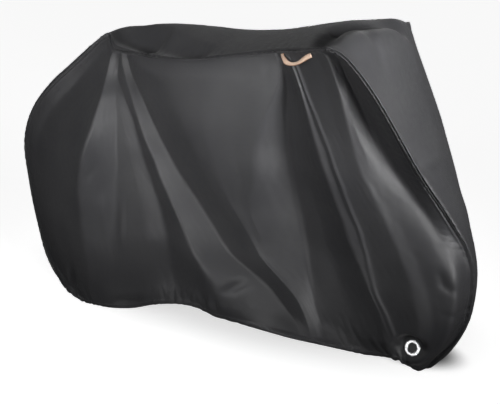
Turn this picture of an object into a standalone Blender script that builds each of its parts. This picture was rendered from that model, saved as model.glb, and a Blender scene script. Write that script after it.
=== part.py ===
"""Fitted bicycle cover: two side panels and a centre panel over a hollow, with lock eyelets and a loop.

Units are metres, +Z up, +X towards the front wheel, -Y the near side. Tables give heights above the
ground; the model's own origin is the holding point under the top, HOLD_HEIGHT above the ground.
"""
from collections import namedtuple
from math import cos, pi, radians, sin

import bmesh
import bpy
import numpy as np
from mathutils import Vector

NAME = "bicycle_cover"

HOLD_HEIGHT = 1.050        # ground to the holding point, which lies just under the crown of the top
CLOTH = 0.0012             # thickness of the coated cloth
PIECE_GAP = 0.0004         # clear distance kept between two pieces
NEAR = -1.0                # sign of Y on the near side
FAR = 1.0                  # sign of Y on the far side

# ---- seams and hem: one row per point, x and height in side view, half width from the middle plane ----
Edge = namedtuple("Edge", "x half_width height")

REAR_SEAM = (              # from the saddle corner down to the rear hem
    Edge(-0.364, 0.075, 1.027), Edge(-0.412, 0.070, 1.005), Edge(-0.460, 0.070, 0.970),
    Edge(-0.561, 0.070, 0.897), Edge(-0.659, 0.080, 0.820), Edge(-0.747, 0.080, 0.736),
    Edge(-0.787, 0.080, 0.677), Edge(-0.819, 0.080, 0.595), Edge(-0.808, 0.090, 0.439),
    Edge(-0.778, 0.100, 0.282), Edge(-0.719, 0.115, 0.122), Edge(-0.682, 0.120, 0.077),
    Edge(-0.659, 0.120, 0.048),
)
TOP_SEAM = (               # from the saddle corner along to the handlebar corner
    Edge(-0.364, 0.075, 1.027), Edge(-0.346, 0.090, 1.001), Edge(-0.330, 0.098, 0.986),
    Edge(-0.295, 0.108, 0.981), Edge(-0.242, 0.120, 0.979), Edge(-0.142, 0.145, 0.977),
    Edge(-0.068, 0.165, 0.981), Edge(0.078, 0.190, 0.996), Edge(0.220, 0.200, 1.022),
    Edge(0.351, 0.220, 1.048), Edge(0.431, 0.250, 1.062), Edge(0.525, 0.290, 1.079),
)
FRONT_SEAM_NEAR = (        # from the near handlebar corner down to the front hem
    Edge(0.525, 0.290, 1.079), Edge(0.549, 0.290, 1.074), Edge(0.573, 0.288, 1.061),
    Edge(0.595, 0.283, 1.039), Edge(0.637, 0.265, 0.982), Edge(0.676, 0.240, 0.912),
    Edge(0.711, 0.205, 0.834), Edge(0.756, 0.160, 0.738), Edge(0.792, 0.130, 0.674),
    Edge(0.829, 0.095, 0.601), Edge(0.860, 0.065, 0.532), Edge(0.874, 0.050, 0.480),
    Edge(0.877, 0.038, 0.420), Edge(0.875, 0.035, 0.350), Edge(0.866, 0.035, 0.285),
    Edge(0.840, 0.038, 0.222), Edge(0.802, 0.045, 0.165), Edge(0.777, 0.052, 0.124),
)
FRONT_SEAM_FAR = (         # the far side sits a little higher at the bar and further back below it
    Edge(0.525, 0.290, 1.082), Edge(0.533, 0.287, 1.058), Edge(0.547, 0.280, 1.030),
    Edge(0.566, 0.270, 0.996), Edge(0.598, 0.255, 0.941), Edge(0.634, 0.240, 0.877),
    Edge(0.665, 0.225, 0.822), Edge(0.701, 0.200, 0.755), Edge(0.744, 0.165, 0.678),
    Edge(0.771, 0.140, 0.628), Edge(0.803, 0.110, 0.581), Edge(0.828, 0.080, 0.534),
    Edge(0.852, 0.052, 0.488), Edge(0.868, 0.037, 0.437), Edge(0.873, 0.033, 0.392),
    Edge(0.873, 0.032, 0.344), Edge(0.866, 0.033, 0.285), Edge(0.840, 0.038, 0.222),
    Edge(0.802, 0.045, 0.165), Edge(0.777, 0.052, 0.124),
)
HEM = (                    # from the rear seam forward to the front seam
    Edge(-0.659, 0.120, 0.048), Edge(-0.609, 0.140, 0.036), Edge(-0.543, 0.155, 0.027),
    Edge(-0.422, 0.165, 0.037), Edge(-0.345, 0.168, 0.052), Edge(-0.242, 0.175, 0.086),
    Edge(-0.164, 0.185, 0.125), Edge(-0.089, 0.195, 0.156), Edge(0.003, 0.205, 0.184),
    Edge(0.067, 0.210, 0.190), Edge(0.126, 0.210, 0.178), Edge(0.184, 0.210, 0.181),
    Edge(0.261, 0.215, 0.186), Edge(0.336, 0.215, 0.188), Edge(0.404, 0.210, 0.187),
    Edge(0.473, 0.190, 0.181), Edge(0.555, 0.170, 0.176), Edge(0.628, 0.155, 0.174),
    Edge(0.685, 0.145, 0.180), Edge(0.722, 0.136, 0.174), Edge(0.748, 0.120, 0.155),
    Edge(0.768, 0.098, 0.135), Edge(0.777, 0.052, 0.124),
)

# ---- the crown line: the middle of the centre panel, in the three stretches that the seams have ----
Crown = namedtuple("Crown", "x height")

REAR_CROWN = (             # from the rear hem up to the back of the saddle
    Crown(-0.690, 0.052), Crown(-0.745, 0.130), Crown(-0.800, 0.285), Crown(-0.838, 0.440),
    Crown(-0.852, 0.595), Crown(-0.822, 0.690), Crown(-0.772, 0.765), Crown(-0.690, 0.838),
    Crown(-0.590, 0.910), Crown(-0.500, 0.972), Crown(-0.440, 1.010), Crown(-0.395, 1.030),
)
TOP_CROWN = (              # over the saddle, the sag behind the bar and up to the bar
    Crown(-0.395, 1.030), Crown(-0.350, 1.047), Crown(-0.280, 1.053), Crown(-0.212, 1.059),
    Crown(-0.092, 1.066), Crown(-0.015, 1.065), Crown(0.148, 1.064), Crown(0.230, 1.071),
    Crown(0.299, 1.083), Crown(0.380, 1.098), Crown(0.455, 1.112), Crown(0.528, 1.118),
)
FRONT_CROWN = (            # over the bar and down the front wheel
    Crown(0.528, 1.118), Crown(0.555, 1.110), Crown(0.583, 1.078), Crown(0.615, 1.015),
    Crown(0.655, 0.935), Crown(0.705, 0.838), Crown(0.757, 0.742), Crown(0.800, 0.660),
    Crown(0.838, 0.583), Crown(0.864, 0.511), Crown(0.876, 0.450), Crown(0.882, 0.400),
    Crown(0.883, 0.357), Crown(0.876, 0.291), Crown(0.862, 0.236), Crown(0.823, 0.154),
    Crown(0.787, 0.108),
)

# ---- folds of a side panel, rear to front ----
# Shares run along the hem at five levels between the seam (0) and the hem (1); half widths are at the three
# levels between, and cells is the number of mesh cells from this fold to the next.
Fold = namedtuple("Fold", "name at_seam at_25 at_50 at_75 at_hem out_25 out_50 out_75 cells")

FOLD_LEVELS = (0.0, 0.25, 0.5, 0.75, 1.0)
FOLDS_NEAR = (
    Fold("rear seam", 0.0, 0.0, 0.0, 0.0, 0.0, 0.070, 0.083, 0.098, 3),
    Fold("rear hollow", 0.05, 0.06, 0.07, 0.06, 0.06, 0.078, 0.100, 0.118, 4),
    Fold("rear crest", 0.10, 0.255, 0.245, 0.14, 0.11, 0.150, 0.190, 0.182, 4),
    Fold("rear face", 0.16, 0.35, 0.36, 0.30, 0.28, 0.146, 0.182, 0.200, 4),
    Fold("stripe", 0.21, 0.425, 0.445, 0.43, 0.49, 0.134, 0.152, 0.180, 3),
    Fold("band crest", 0.26, 0.445, 0.468, 0.475, 0.535, 0.150, 0.186, 0.214, 4),
    Fold("band foot", 0.37, 0.520, 0.546, 0.55, 0.60, 0.136, 0.150, 0.172, 4),
    Fold("middle", 0.50, 0.590, 0.590, 0.580, 0.64, 0.178, 0.176, 0.172, 4),
    Fold("loop crest", 0.72, 0.650, 0.627, 0.605, 0.68, 0.212, 0.200, 0.180, 4),
    Fold("loop trough", 0.735, 0.712, 0.702, 0.69, 0.71, 0.172, 0.148, 0.152, 4),
    Fold("rib", 0.77, 0.778, 0.782, 0.800, 0.90, 0.208, 0.172, 0.150, 3),
    Fold("bay", 0.83, 0.840, 0.845, 0.860, 0.93, 0.190, 0.140, 0.112, 3),
    Fold("bar crest", 0.925, 0.898, 0.900, 0.912, 0.955, 0.226, 0.160, 0.112, 4),
    Fold("bar valley", 0.975, 0.968, 0.975, 0.98, 0.985, 0.200, 0.092, 0.048, 3),
    Fold("front seam", 1.0, 1.0, 1.0, 1.0, 1.0, 0.235, 0.095, 0.037, 0),
)
FOLDS_FAR = (
    Fold("rear seam", 0.0, 0.0, 0.0, 0.0, 0.0, 0.070, 0.083, 0.098, 2),
    Fold("rear crest", 0.12, 0.22, 0.22, 0.19, 0.18, 0.138, 0.178, 0.180, 3),
    Fold("rear trough", 0.24, 0.40, 0.43, 0.42, 0.44, 0.132, 0.160, 0.188, 3),
    Fold("band crest", 0.34, 0.50, 0.52, 0.53, 0.56, 0.158, 0.184, 0.208, 4),
    Fold("band foot", 0.52, 0.60, 0.62, 0.62, 0.66, 0.176, 0.162, 0.172, 8),
    Fold("bar crest", 0.80, 0.80, 0.79, 0.80, 0.88, 0.216, 0.170, 0.150, 5),
    Fold("bar trough", 0.90, 0.90, 0.90, 0.91, 0.95, 0.216, 0.130, 0.110, 4),
    Fold("front seam", 1.0, 1.0, 1.0, 1.0, 1.0, 0.235, 0.095, 0.037, 0),
)
CREST_ROUNDING = 0.55      # 0 keeps a fold's crest as a sharp crease, 1 rounds it fully

Spread = namedtuple("Spread", "hem_share seam_share")
SPREAD = (                 # the cloth fans out from the saddle corner, so hem shares bunch up at the top
    Spread(0.0, 0.0), Spread(0.10, 0.075), Spread(0.20, 0.105), Spread(0.44, 0.150),
    Spread(0.53, 0.20), Spread(0.64, 0.72), Spread(0.76, 0.80), Spread(0.90, 0.93), Spread(1.0, 1.0),
)

# ---- mesh rows of the panels ----
STRIP_TOP = 0.885          # share of the way down where the lock strip starts
STRIP_FOLD_NEAR = 9.5      # fold number, counted from 0, where the near lock strip starts
STRIP_FOLD_FAR = 4.75
ROWS_ABOVE = 21            # mesh rows from the seam to the lock strip's top
ROWS_BESIDE = 8            # mesh rows from there to the hem
FAR_STEP = 2               # above the lock strip the far panel takes every second row
CENTRE_CELLS = 10          # mesh cells across the centre panel
NEAR_SET_BACK = 0.0022     # extra room at the near seams
FAR_SET_BACK = 0.0036      # and at the far ones, where the two meshes' rows differ
STRIP_GAP = 0.0010         # room between a lock strip and its side panel
SET_BACK_MOST = 0.011      # largest distance from a seam at which the centre panel stops

# ---- how full the centre panel arches across each stretch: 1 is a ridge, 2 an arc, 3 nearly flat ----
Arch = namedtuple("Arch", "share power")

ARCH = {
    "rear": (Arch(0.0, 2.2), Arch(0.5, 2.0), Arch(1.0, 1.8)),
    "top": (Arch(0.0, 1.8), Arch(0.15, 1.5), Arch(0.85, 1.5), Arch(1.0, 2.2)),
    "front": (Arch(0.0, 2.2), Arch(0.4, 2.0), Arch(1.0, 2.0)),
}

# ---- folds lying across the top: soft troughs (rise below 0) and swells between two points of the plan ----
Dent = namedtuple("Dent", "x_from y_from x_to y_to radius rise")

DENTS = (
    Dent(-0.310, -0.045, -0.170, -0.098, 0.060, -0.020),    # from the saddle down to the near seam
    Dent(-0.170, -0.098, -0.045, -0.130, 0.050, -0.014),
    Dent(0.530, -0.060, 0.482, -0.125, 0.045, -0.016),      # round the back of the near grip
    Dent(0.482, -0.125, 0.478, -0.200, 0.045, -0.020),
    Dent(0.478, -0.200, 0.500, -0.262, 0.045, -0.020),
    Dent(0.550, -0.225, 0.572, -0.180, 0.060, 0.010),       # over the near grip
    Dent(0.548, -0.010, 0.556, 0.110, 0.060, -0.012),       # beyond the middle of the bar
)
DENT_EDGE_POWER = 6.0      # how close to the seams a fold keeps its depth

# ---- lock eyelets ----
EYELET_X = 0.753
EYELET_HEIGHT = 0.223
EYELET_HALF_WIDTH = 0.124
EYELET_LEAN = radians(25.0)    # the ring's face looks this much upwards
EYELET_TURN = radians(8.0)     # and this much to the rear
EYELET_OUTER_R = 0.024
EYELET_HOLE_R = 0.0135
EYELET_BARREL = 0.0010         # wall of the tube that lines the hole
EYELET_FLANGE = 0.0016         # height of the flange over the cloth
FLAT_R = 0.044                 # the cloth is flat this far round the eyelet
FLAT_FADE_R = 0.075            # and back on its folds from here on
EYELET_BACK = 0.0010           # height of the flange behind the cloth
EYELET_BACK_R = 0.021
EYELET_CUT_R = 0.0150          # hole in the cloth
EYELET_CUT_DEPTH = 0.030
EYELET_SEGMENTS = 28
EYELET_ROUNDING = 0.35         # rounding of the flange's rim, as a share of its height

# ---- hanging loop: flat webbing, its route given from the near top seam ----
LoopPoint = namedtuple("LoopPoint", "x height stand_off tilt_deg")

LOOP_ROUTE = (             # stand_off is the distance out from the panel, tilt 0 lies flat against it
    LoopPoint(0.366, 1.0450, 0.0008, 0.0), LoopPoint(0.369, 1.0375, 0.0040, 10.0),
    LoopPoint(0.381, 1.0290, 0.0130, 38.0), LoopPoint(0.403, 1.0240, 0.0190, 52.0),
    LoopPoint(0.425, 1.0290, 0.0180, 48.0), LoopPoint(0.441, 1.0395, 0.0110, 30.0),
    LoopPoint(0.454, 1.0490, 0.0056, 10.0), LoopPoint(0.467, 1.0560, 0.0026, 0.0),
)
LOOP_WIDTH = 0.013
LOOP_THICK = 0.0022
LOOP_STEPS = 30
LOOP_FOLD = 6.0            # the loop hangs forward of this fold
LOOP_FREE = 0.010          # stand off at which the strap no longer follows the cloth
LOOP_SMOOTHING = 4
LOOP_SEEN_DOWN = 0.12      # the cloth behind the loop: its share down, and points read along and down
LOOP_SEEN_COLUMNS = 240
LOOP_SEEN_ROWS = 60
LOOP_ROUNDING = 0.8        # rounding of the strap's edges, as a share of half its thickness

SHARP_ANGLE = radians(45.0)
STEEPEST = 0.94            # largest cosine between two cloths at a seam that a set-back answers
MERGE = 0.00001


# ---- reading the tables ----

def smooth_path(rows, shares):
    """Points on a smooth curve through rows of three numbers, at shares of its length from 0 to 1."""
    points = np.asarray([tuple(row) for row in rows], float)
    chords = np.linalg.norm(np.diff(points, axis=0), axis=1)
    stations = np.concatenate([[0.0], np.cumsum(chords)]) / chords.sum()
    steps = np.diff(stations)[:, None]
    slopes = np.diff(points, axis=0) / steps
    tangents = np.empty_like(points)
    tangents[1:-1] = (slopes[:-1] * steps[1:] + slopes[1:] * steps[:-1]) / (steps[:-1] + steps[1:])
    tangents[0] = slopes[0]
    tangents[-1] = slopes[-1]
    shares = np.asarray(shares, float)
    index = np.clip(np.searchsorted(stations, shares, side="right") - 1, 0, len(points) - 2)
    return hermite(shares, stations, points, tangents, index)


def hermite(shares, stations, values, tangents, index):
    """Cubic between the table rows index and index + 1 at each share."""
    span = (stations[index + 1] - stations[index])[..., None]
    way = (shares - stations[index])[..., None] / span
    rise = way * way * (3.0 - 2.0 * way)
    return ((1.0 - rise) * values[index] + rise * values[index + 1]
            + way * (1.0 - way) ** 2 * span * tangents[index]
            - way * way * (1.0 - way) * span * tangents[index + 1])


def even_read(shares, stations, values):
    """Read a table that never overshoots its rows, at each share; values may have several columns."""
    stations = np.asarray(stations, float)
    values = np.asarray(values, float).reshape(len(stations), -1)
    slopes = np.diff(values, axis=0) / np.diff(stations)[:, None]
    before = slopes[:-1]
    after = slopes[1:]
    same_way = before * after > 0.0
    total = np.where(same_way, before + after, 1.0)
    tangents = np.zeros_like(values)
    tangents[1:-1] = np.where(same_way, 2.0 * before * after / total, 0.0)
    tangents[0] = slopes[0]
    tangents[-1] = slopes[-1]
    shares = np.clip(np.asarray(shares, float), stations[0], stations[-1])
    index = np.clip(np.searchsorted(stations, shares, side="right") - 1, 0, len(stations) - 2)
    return hermite(shares, stations, values, tangents, index)


def fade(distance, full, gone):
    """1 out to full, 0 from gone on, smooth between."""
    way = np.clip((distance - full) / (gone - full), 0.0, 1.0)
    return 1.0 - way * way * (3.0 - 2.0 * way)


# ---- a side panel as one smooth surface ----

class SidePanel:
    """One side of the cover: a patch between four borders, with folds that fan down from the top seam."""

    def __init__(self, side, front_seam, folds, strip_fold):
        self.side = side
        self.front_seam = front_seam
        self.folds = folds
        self.strip_fold = strip_fold

    def stretched(self, hem_shares, down):
        """The panel without folds: x, half width and height at paired shares along and down."""
        spread = even_read(hem_shares, [row.hem_share for row in SPREAD], [row.seam_share for row in SPREAD])
        top = smooth_path(TOP_SEAM, spread[..., 0])
        hem = smooth_path(HEM, hem_shares)
        rear = smooth_path(REAR_SEAM, down)
        front = smooth_path(self.front_seam, down)
        along = hem_shares[..., None]
        drop = down[..., None]
        corners = ((1.0 - along) * ((1.0 - drop) * top_corner(TOP_SEAM, 0) + drop * top_corner(HEM, 0))
                   + along * ((1.0 - drop) * top_corner(TOP_SEAM, -1) + drop * top_corner(HEM, -1)))
        return (1.0 - drop) * top + drop * hem + (1.0 - along) * rear + along * front - corners

    def fold_shares(self, down):
        """Hem share of every fold at each level, one column a fold."""
        rows = np.array([[fold.at_seam, fold.at_25, fold.at_50, fold.at_75, fold.at_hem]
                         for fold in self.folds]).T
        return even_read(down, FOLD_LEVELS, rows)

    def fold_reach(self, down):
        """How far every fold stands out from the stretched panel at each level, one column a fold."""
        inner_levels = np.array(FOLD_LEVELS[1:-1])
        rows = np.zeros((len(FOLD_LEVELS), len(self.folds)))
        for column, fold in enumerate(self.folds[1:-1], start=1):
            places = np.array([fold.at_25, fold.at_50, fold.at_75])
            plain = self.stretched(places, inner_levels)[:, 1]
            rows[1:-1, column] = np.array([fold.out_25, fold.out_50, fold.out_75]) - plain
        return even_read(down, FOLD_LEVELS, rows)

    def surface(self, fold_numbers, down):
        """Outer surface points, indexed by fold number (a fraction lies between folds) and share down."""
        shares = self.fold_shares(down)
        reaches = self.fold_reach(down)
        lower = np.minimum(fold_numbers.astype(int), len(self.folds) - 2)
        way = fold_numbers - lower
        rounded = (1.0 - CREST_ROUNDING) * way + CREST_ROUNDING * way * way * (3.0 - 2.0 * way)
        hem_shares = shares[:, lower] * (1.0 - way) + shares[:, lower + 1] * way
        reach = reaches[:, lower] * (1.0 - rounded) + reaches[:, lower + 1] * rounded
        points = self.stretched(hem_shares.T, np.broadcast_to(down, hem_shares.T.shape))
        points[..., 1] += reach.T
        points[..., 1] = flattened(points[..., 0], points[..., 1], points[..., 2])
        return placed(points, self.side)

    def fold_at(self, level, fold_numbers):
        """Hem shares of fold numbers at one level."""
        places = self.fold_shares(np.array([level]))[0]
        return np.interp(fold_numbers, np.arange(len(places)), places)

    def columns(self):
        """Fold numbers of the mesh columns."""
        numbers = []
        for index, fold in enumerate(self.folds):
            numbers += [index + cell / fold.cells for cell in range(fold.cells)]
        return np.array(numbers + [len(self.folds) - 1.0])


def top_corner(rows, index):
    """One end of a border as an array."""
    return np.array(tuple(rows[index]))


def placed(points, side):
    """Table points (x, half width, height) as model points on one side of the middle plane."""
    return np.stack([points[..., 0], side * points[..., 1], points[..., 2] - HOLD_HEIGHT], axis=-1)


# ---- the lock eyelets' place ----

def eyelet_normal(side):
    """Outward direction of an eyelet's face."""
    return np.array([-cos(EYELET_LEAN) * sin(EYELET_TURN), side * cos(EYELET_LEAN) * cos(EYELET_TURN),
                     sin(EYELET_LEAN)])


def eyelet_centre(side):
    """Middle of an eyelet on the cloth's outer surface."""
    return np.array([EYELET_X, side * EYELET_HALF_WIDTH, EYELET_HEIGHT - HOLD_HEIGHT])


def flattened(x, half_width, height):
    """Half widths with the cloth round the eyelet brought into the plane of its ring."""
    normal = eyelet_normal(FAR)
    along = x - EYELET_X
    up = height - EYELET_HEIGHT
    plane = EYELET_HALF_WIDTH - (normal[0] * along + normal[2] * up) / normal[1]
    weight = fade(np.hypot(along, up), FLAT_R, FLAT_FADE_R)
    return half_width + weight * (plane - half_width)


# ---- the centre panel ----

def crown_rows(crown):
    """The crown line as table rows on the middle plane."""
    return [(point.x, 0.0, point.height) for point in crown]


def centre_stretch(name, near_edge, far_edge, crown, shares):
    """One stretch of the centre panel: rows of points from the near seam to the far seam."""
    middle = placed(smooth_path(crown_rows(crown), shares), FAR)
    power = even_read(shares, [row.share for row in ARCH[name]], [row.power for row in ARCH[name]])
    across = np.linspace(-1.0, 1.0, CENTRE_CELLS + 1)
    arch = 1.0 - np.abs(across)[None, :, None] ** power[:, :, None]
    chord = near_edge[:, None] + (far_edge - near_edge)[:, None] * (across[None, :, None] + 1.0) / 2.0
    rise = middle - (near_edge + far_edge) / 2.0
    arched = chord + arch * rise[:, None]
    arched[..., 2] += dent_rise(arched, across)
    return arched


def dent_rise(points, across):
    """How far the folds lying across the top lift each point; nothing at the seams."""
    lowest = np.zeros(points.shape[:2])
    highest = np.zeros(points.shape[:2])
    for dent in DENTS:
        start = np.array([dent.x_from, dent.y_from])
        reach = np.array([dent.x_to, dent.y_to]) - start
        way = np.clip(((points[..., :2] - start) @ reach) / (reach @ reach), 0.0, 1.0)
        away = np.linalg.norm(points[..., :2] - start - way[..., None] * reach, axis=-1)
        lift = dent.rise * fade(away, 0.0, dent.radius)
        lowest = np.minimum(lowest, lift)
        highest = np.maximum(highest, lift)
    return (lowest + highest) * (1.0 - np.abs(across) ** DENT_EDGE_POWER)


def set_back(rows, edge_index, inner_index, panel_inward, extra):
    """Stop each row short of a seam by what the two cloth thicknesses need at their angle."""
    edge = rows[:, edge_index].copy()
    seam = unit(np.gradient(edge, axis=0))
    inward = across_seam(rows[:, inner_index] - edge, seam)
    cosine = np.clip(np.sum(inward * across_seam(panel_inward, seam), axis=1), -STEEPEST, STEEPEST)
    sine = np.sqrt(1.0 - cosine ** 2)
    distance = (CLOTH + PIECE_GAP + CLOTH * cosine) / sine + extra
    rows[:, edge_index] = edge + inward * np.clip(distance, PIECE_GAP, SET_BACK_MOST)[:, None]


def across_seam(vectors, seam):
    """The unit part of each vector that is square to the seam."""
    return unit(vectors - np.sum(vectors * seam, axis=1)[:, None] * seam)


def unit(vectors):
    """Vectors at length 1."""
    return vectors / np.linalg.norm(vectors, axis=-1, keepdims=True)


# ---- meshes ----

def collection(name):
    """A new collection in the scene."""
    made = bpy.data.collections.new(name)
    bpy.context.scene.collection.children.link(made)
    return made


def material(name, colour, roughness, metallic=0.0):
    """A plain Principled material."""
    made = bpy.data.materials.new(name)
    made.use_nodes = True
    shader = made.node_tree.nodes["Principled BSDF"]
    shader.inputs["Base Color"].default_value = (*colour, 1.0)
    shader.inputs["Roughness"].default_value = roughness
    shader.inputs["Metallic"].default_value = metallic
    return made


def add_object(name, mesh, finish, home):
    """Put a mesh in a collection under a node's name, smooth but for its sharp edges."""
    made = bpy.data.objects.new(name, mesh)
    mesh.materials.append(finish)
    mesh.shade_smooth()
    mesh.set_sharp_from_angle(angle=SHARP_ANGLE)
    home.objects.link(made)
    return made


def grid_mesh(name, points, keep=None):
    """A sheet of quads through a grid of points; keep says which cells are there."""
    made = bmesh.new()
    columns, rows = points.shape[:2]
    corners = [[made.verts.new(points[i, j]) for j in range(rows)] for i in range(columns)]
    for i in range(columns - 1):
        for j in range(rows - 1):
            if keep is None or keep(i, j):
                made.faces.new((corners[i][j], corners[i][j + 1], corners[i + 1][j + 1], corners[i + 1][j]))
    loose = [vertex for vertex in made.verts if not vertex.link_faces]
    bmesh.ops.delete(made, geom=loose, context="VERTS")
    mesh = bpy.data.meshes.new(name)
    made.to_mesh(mesh)
    made.free()
    return mesh


def face_outwards(mesh, outward):
    """Turn a sheet's faces so that they look outward on the whole."""
    total = sum(polygon.normal.dot(outward) * polygon.area for polygon in mesh.polygons)
    if total < 0.0:
        mesh.flip_normals()


def thicken(piece):
    """Give a sheet its thickness, on its inner side."""
    solid = piece.modifiers.new("thickness", "SOLIDIFY")
    solid.thickness = CLOTH
    solid.offset = -1.0
    solid.use_even_offset = True


def add_sheet(name, points, outward, finish, home, keep=None):
    """A piece of cloth through a grid of points."""
    mesh = grid_mesh(name, points, keep)
    face_outwards(mesh, Vector(outward))
    sheet = add_object(name, mesh, finish, home)
    thicken(sheet)
    return sheet


# ---- the pieces ----

def panel_shares():
    """Shares down of the side panels' mesh rows."""
    above = np.linspace(0.0, STRIP_TOP, ROWS_ABOVE + 1)
    beside = np.linspace(STRIP_TOP, 1.0, ROWS_BESIDE + 1)
    return np.concatenate([above, beside[1:]])


def thinned(values, step, kept_from):
    """Every step-th value up to kept_from, and every one from there on."""
    below = values[values < kept_from - 1e-9]
    above = values[values > kept_from + 1e-9]
    return np.concatenate([below[::step], [kept_from], above])


def build_side(panel, label, step, finish, home, cutters):
    """A side panel, and the lock strip that takes the place of its lower front corner."""
    numbers = panel.columns()
    shares = thinned(panel_shares(), step, STRIP_TOP)
    strip_column = int(np.argmin(abs(numbers - panel.strip_fold)))
    strip_row = int(np.argmin(abs(shares - STRIP_TOP)))
    points = panel.surface(numbers, shares)

    def beside_strip(column, row):
        return column < strip_column or row < strip_row

    outward = (0.0, panel.side, 0.0)
    add_sheet("side_panel_" + label, points, outward, finish, home, beside_strip)
    corner = points[strip_column:, strip_row:].copy()
    corner[0] += unit(corner[1] - corner[0]) * STRIP_GAP
    corner[:, 0] += unit(corner[:, 1] - corner[:, 0]) * STRIP_GAP
    strip = add_sheet("lock_strip_" + label, corner, outward, finish, home)
    cut = strip.modifiers.new("eyelet_hole", "BOOLEAN")
    cut.operation = "DIFFERENCE"
    cut.object = eyelet_cutter(panel.side, label, cutters)


def stand_on_cloth(piece, side):
    """Put a turned piece's origin on the eyelet's centre and its Z along the face's normal."""
    piece.location = eyelet_centre(side)
    piece.rotation_mode = "QUATERNION"
    piece.rotation_quaternion = Vector(eyelet_normal(side)).to_track_quat("Z", "Y")


def eyelet_cutter(side, label, cutters):
    """The cylinder that makes room in the cloth for the eyelet's tube."""
    made = bmesh.new()
    bmesh.ops.create_cone(made, cap_ends=True, segments=EYELET_SEGMENTS, depth=EYELET_CUT_DEPTH,
                          radius1=EYELET_CUT_R, radius2=EYELET_CUT_R)
    mesh = bpy.data.meshes.new("eyelet_cutter_" + label)
    made.to_mesh(mesh)
    made.free()
    cutter = bpy.data.objects.new("eyelet_cutter_" + label, mesh)
    cutters.objects.link(cutter)
    cutter.hide_render = True
    cutter.display_type = "WIRE"
    stand_on_cloth(cutter, side)
    return cutter


def eyelet_profile():
    """Section of an eyelet as radius and height, down its outer side and up through its hole."""
    barrel_r = EYELET_HOLE_R + EYELET_BARREL
    front = PIECE_GAP
    back = -CLOTH - PIECE_GAP
    crest = front + EYELET_FLANGE
    edge = EYELET_FLANGE * EYELET_ROUNDING
    tail = back - EYELET_BACK
    return [
        (EYELET_HOLE_R + 2.0 * edge, crest), (EYELET_OUTER_R - 3.0 * edge, crest),
        (EYELET_OUTER_R - edge, crest - edge), (EYELET_OUTER_R, front + edge), (EYELET_OUTER_R, front),
        (barrel_r, front), (barrel_r, back), (EYELET_BACK_R, back), (EYELET_BACK_R, tail),
        (EYELET_HOLE_R + edge, tail), (EYELET_HOLE_R, back), (EYELET_HOLE_R, crest - 2.0 * edge),
    ]


def build_eyelet(side, label, finish, home):
    """A metal ring with a flange on each face of the cloth, turned from its section."""
    profile = eyelet_profile()
    made = bmesh.new()
    corners = [made.verts.new((radius, 0.0, height)) for radius, height in profile]
    for here, following in zip(corners, corners[1:] + corners[:1]):
        made.edges.new((here, following))
    mesh = bpy.data.meshes.new("lock_eyelet_" + label)
    made.to_mesh(mesh)
    made.free()
    ring = add_object("lock_eyelet_" + label, mesh, finish, home)
    turn = ring.modifiers.new("turned", "SCREW")
    turn.axis = "Z"
    turn.angle = 2.0 * pi
    turn.steps = EYELET_SEGMENTS
    turn.render_steps = EYELET_SEGMENTS
    turn.use_merge_vertices = True
    turn.merge_threshold = MERGE
    stand_on_cloth(ring, side)


def build_centre(near, finish, home):
    """The long panel: up from the rear hem, over the top and down to the front hem."""
    down = panel_shares()
    numbers = near.columns()
    points = near.surface(numbers, down)
    seam = even_read(near.fold_at(0.0, numbers), [row.hem_share for row in SPREAD],
                     [row.seam_share for row in SPREAD])[:, 0]
    up = 1.0 - down[::-1]
    stretches = (
        ("rear", smooth_path(REAR_SEAM, down[::-1]), smooth_path(REAR_SEAM, down[::-1]), REAR_CROWN, up,
         (points[1] - points[0])[::-1]),
        ("top", smooth_path(TOP_SEAM, seam), smooth_path(TOP_SEAM, seam), TOP_CROWN, seam,
         points[:, 1] - points[:, 0]),
        ("front", smooth_path(FRONT_SEAM_NEAR, down), smooth_path(FRONT_SEAM_FAR, down), FRONT_CROWN, down,
         points[-2] - points[-1]),
    )
    rows = []
    for name, near_rows, far_rows, crown, shares, inward in stretches:
        stretch = centre_stretch(name, placed(near_rows, NEAR), placed(far_rows, FAR), crown, shares)
        set_back(stretch, 0, 1, inward, NEAR_SET_BACK)
        set_back(stretch, -1, -2, inward * np.array([1.0, -1.0, 1.0]), FAR_SET_BACK)
        rows.append(stretch if name == "rear" else stretch[1:])
    add_sheet("centre_panel", np.concatenate(rows), (0.0, 0.0, 1.0), finish, home)


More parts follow.
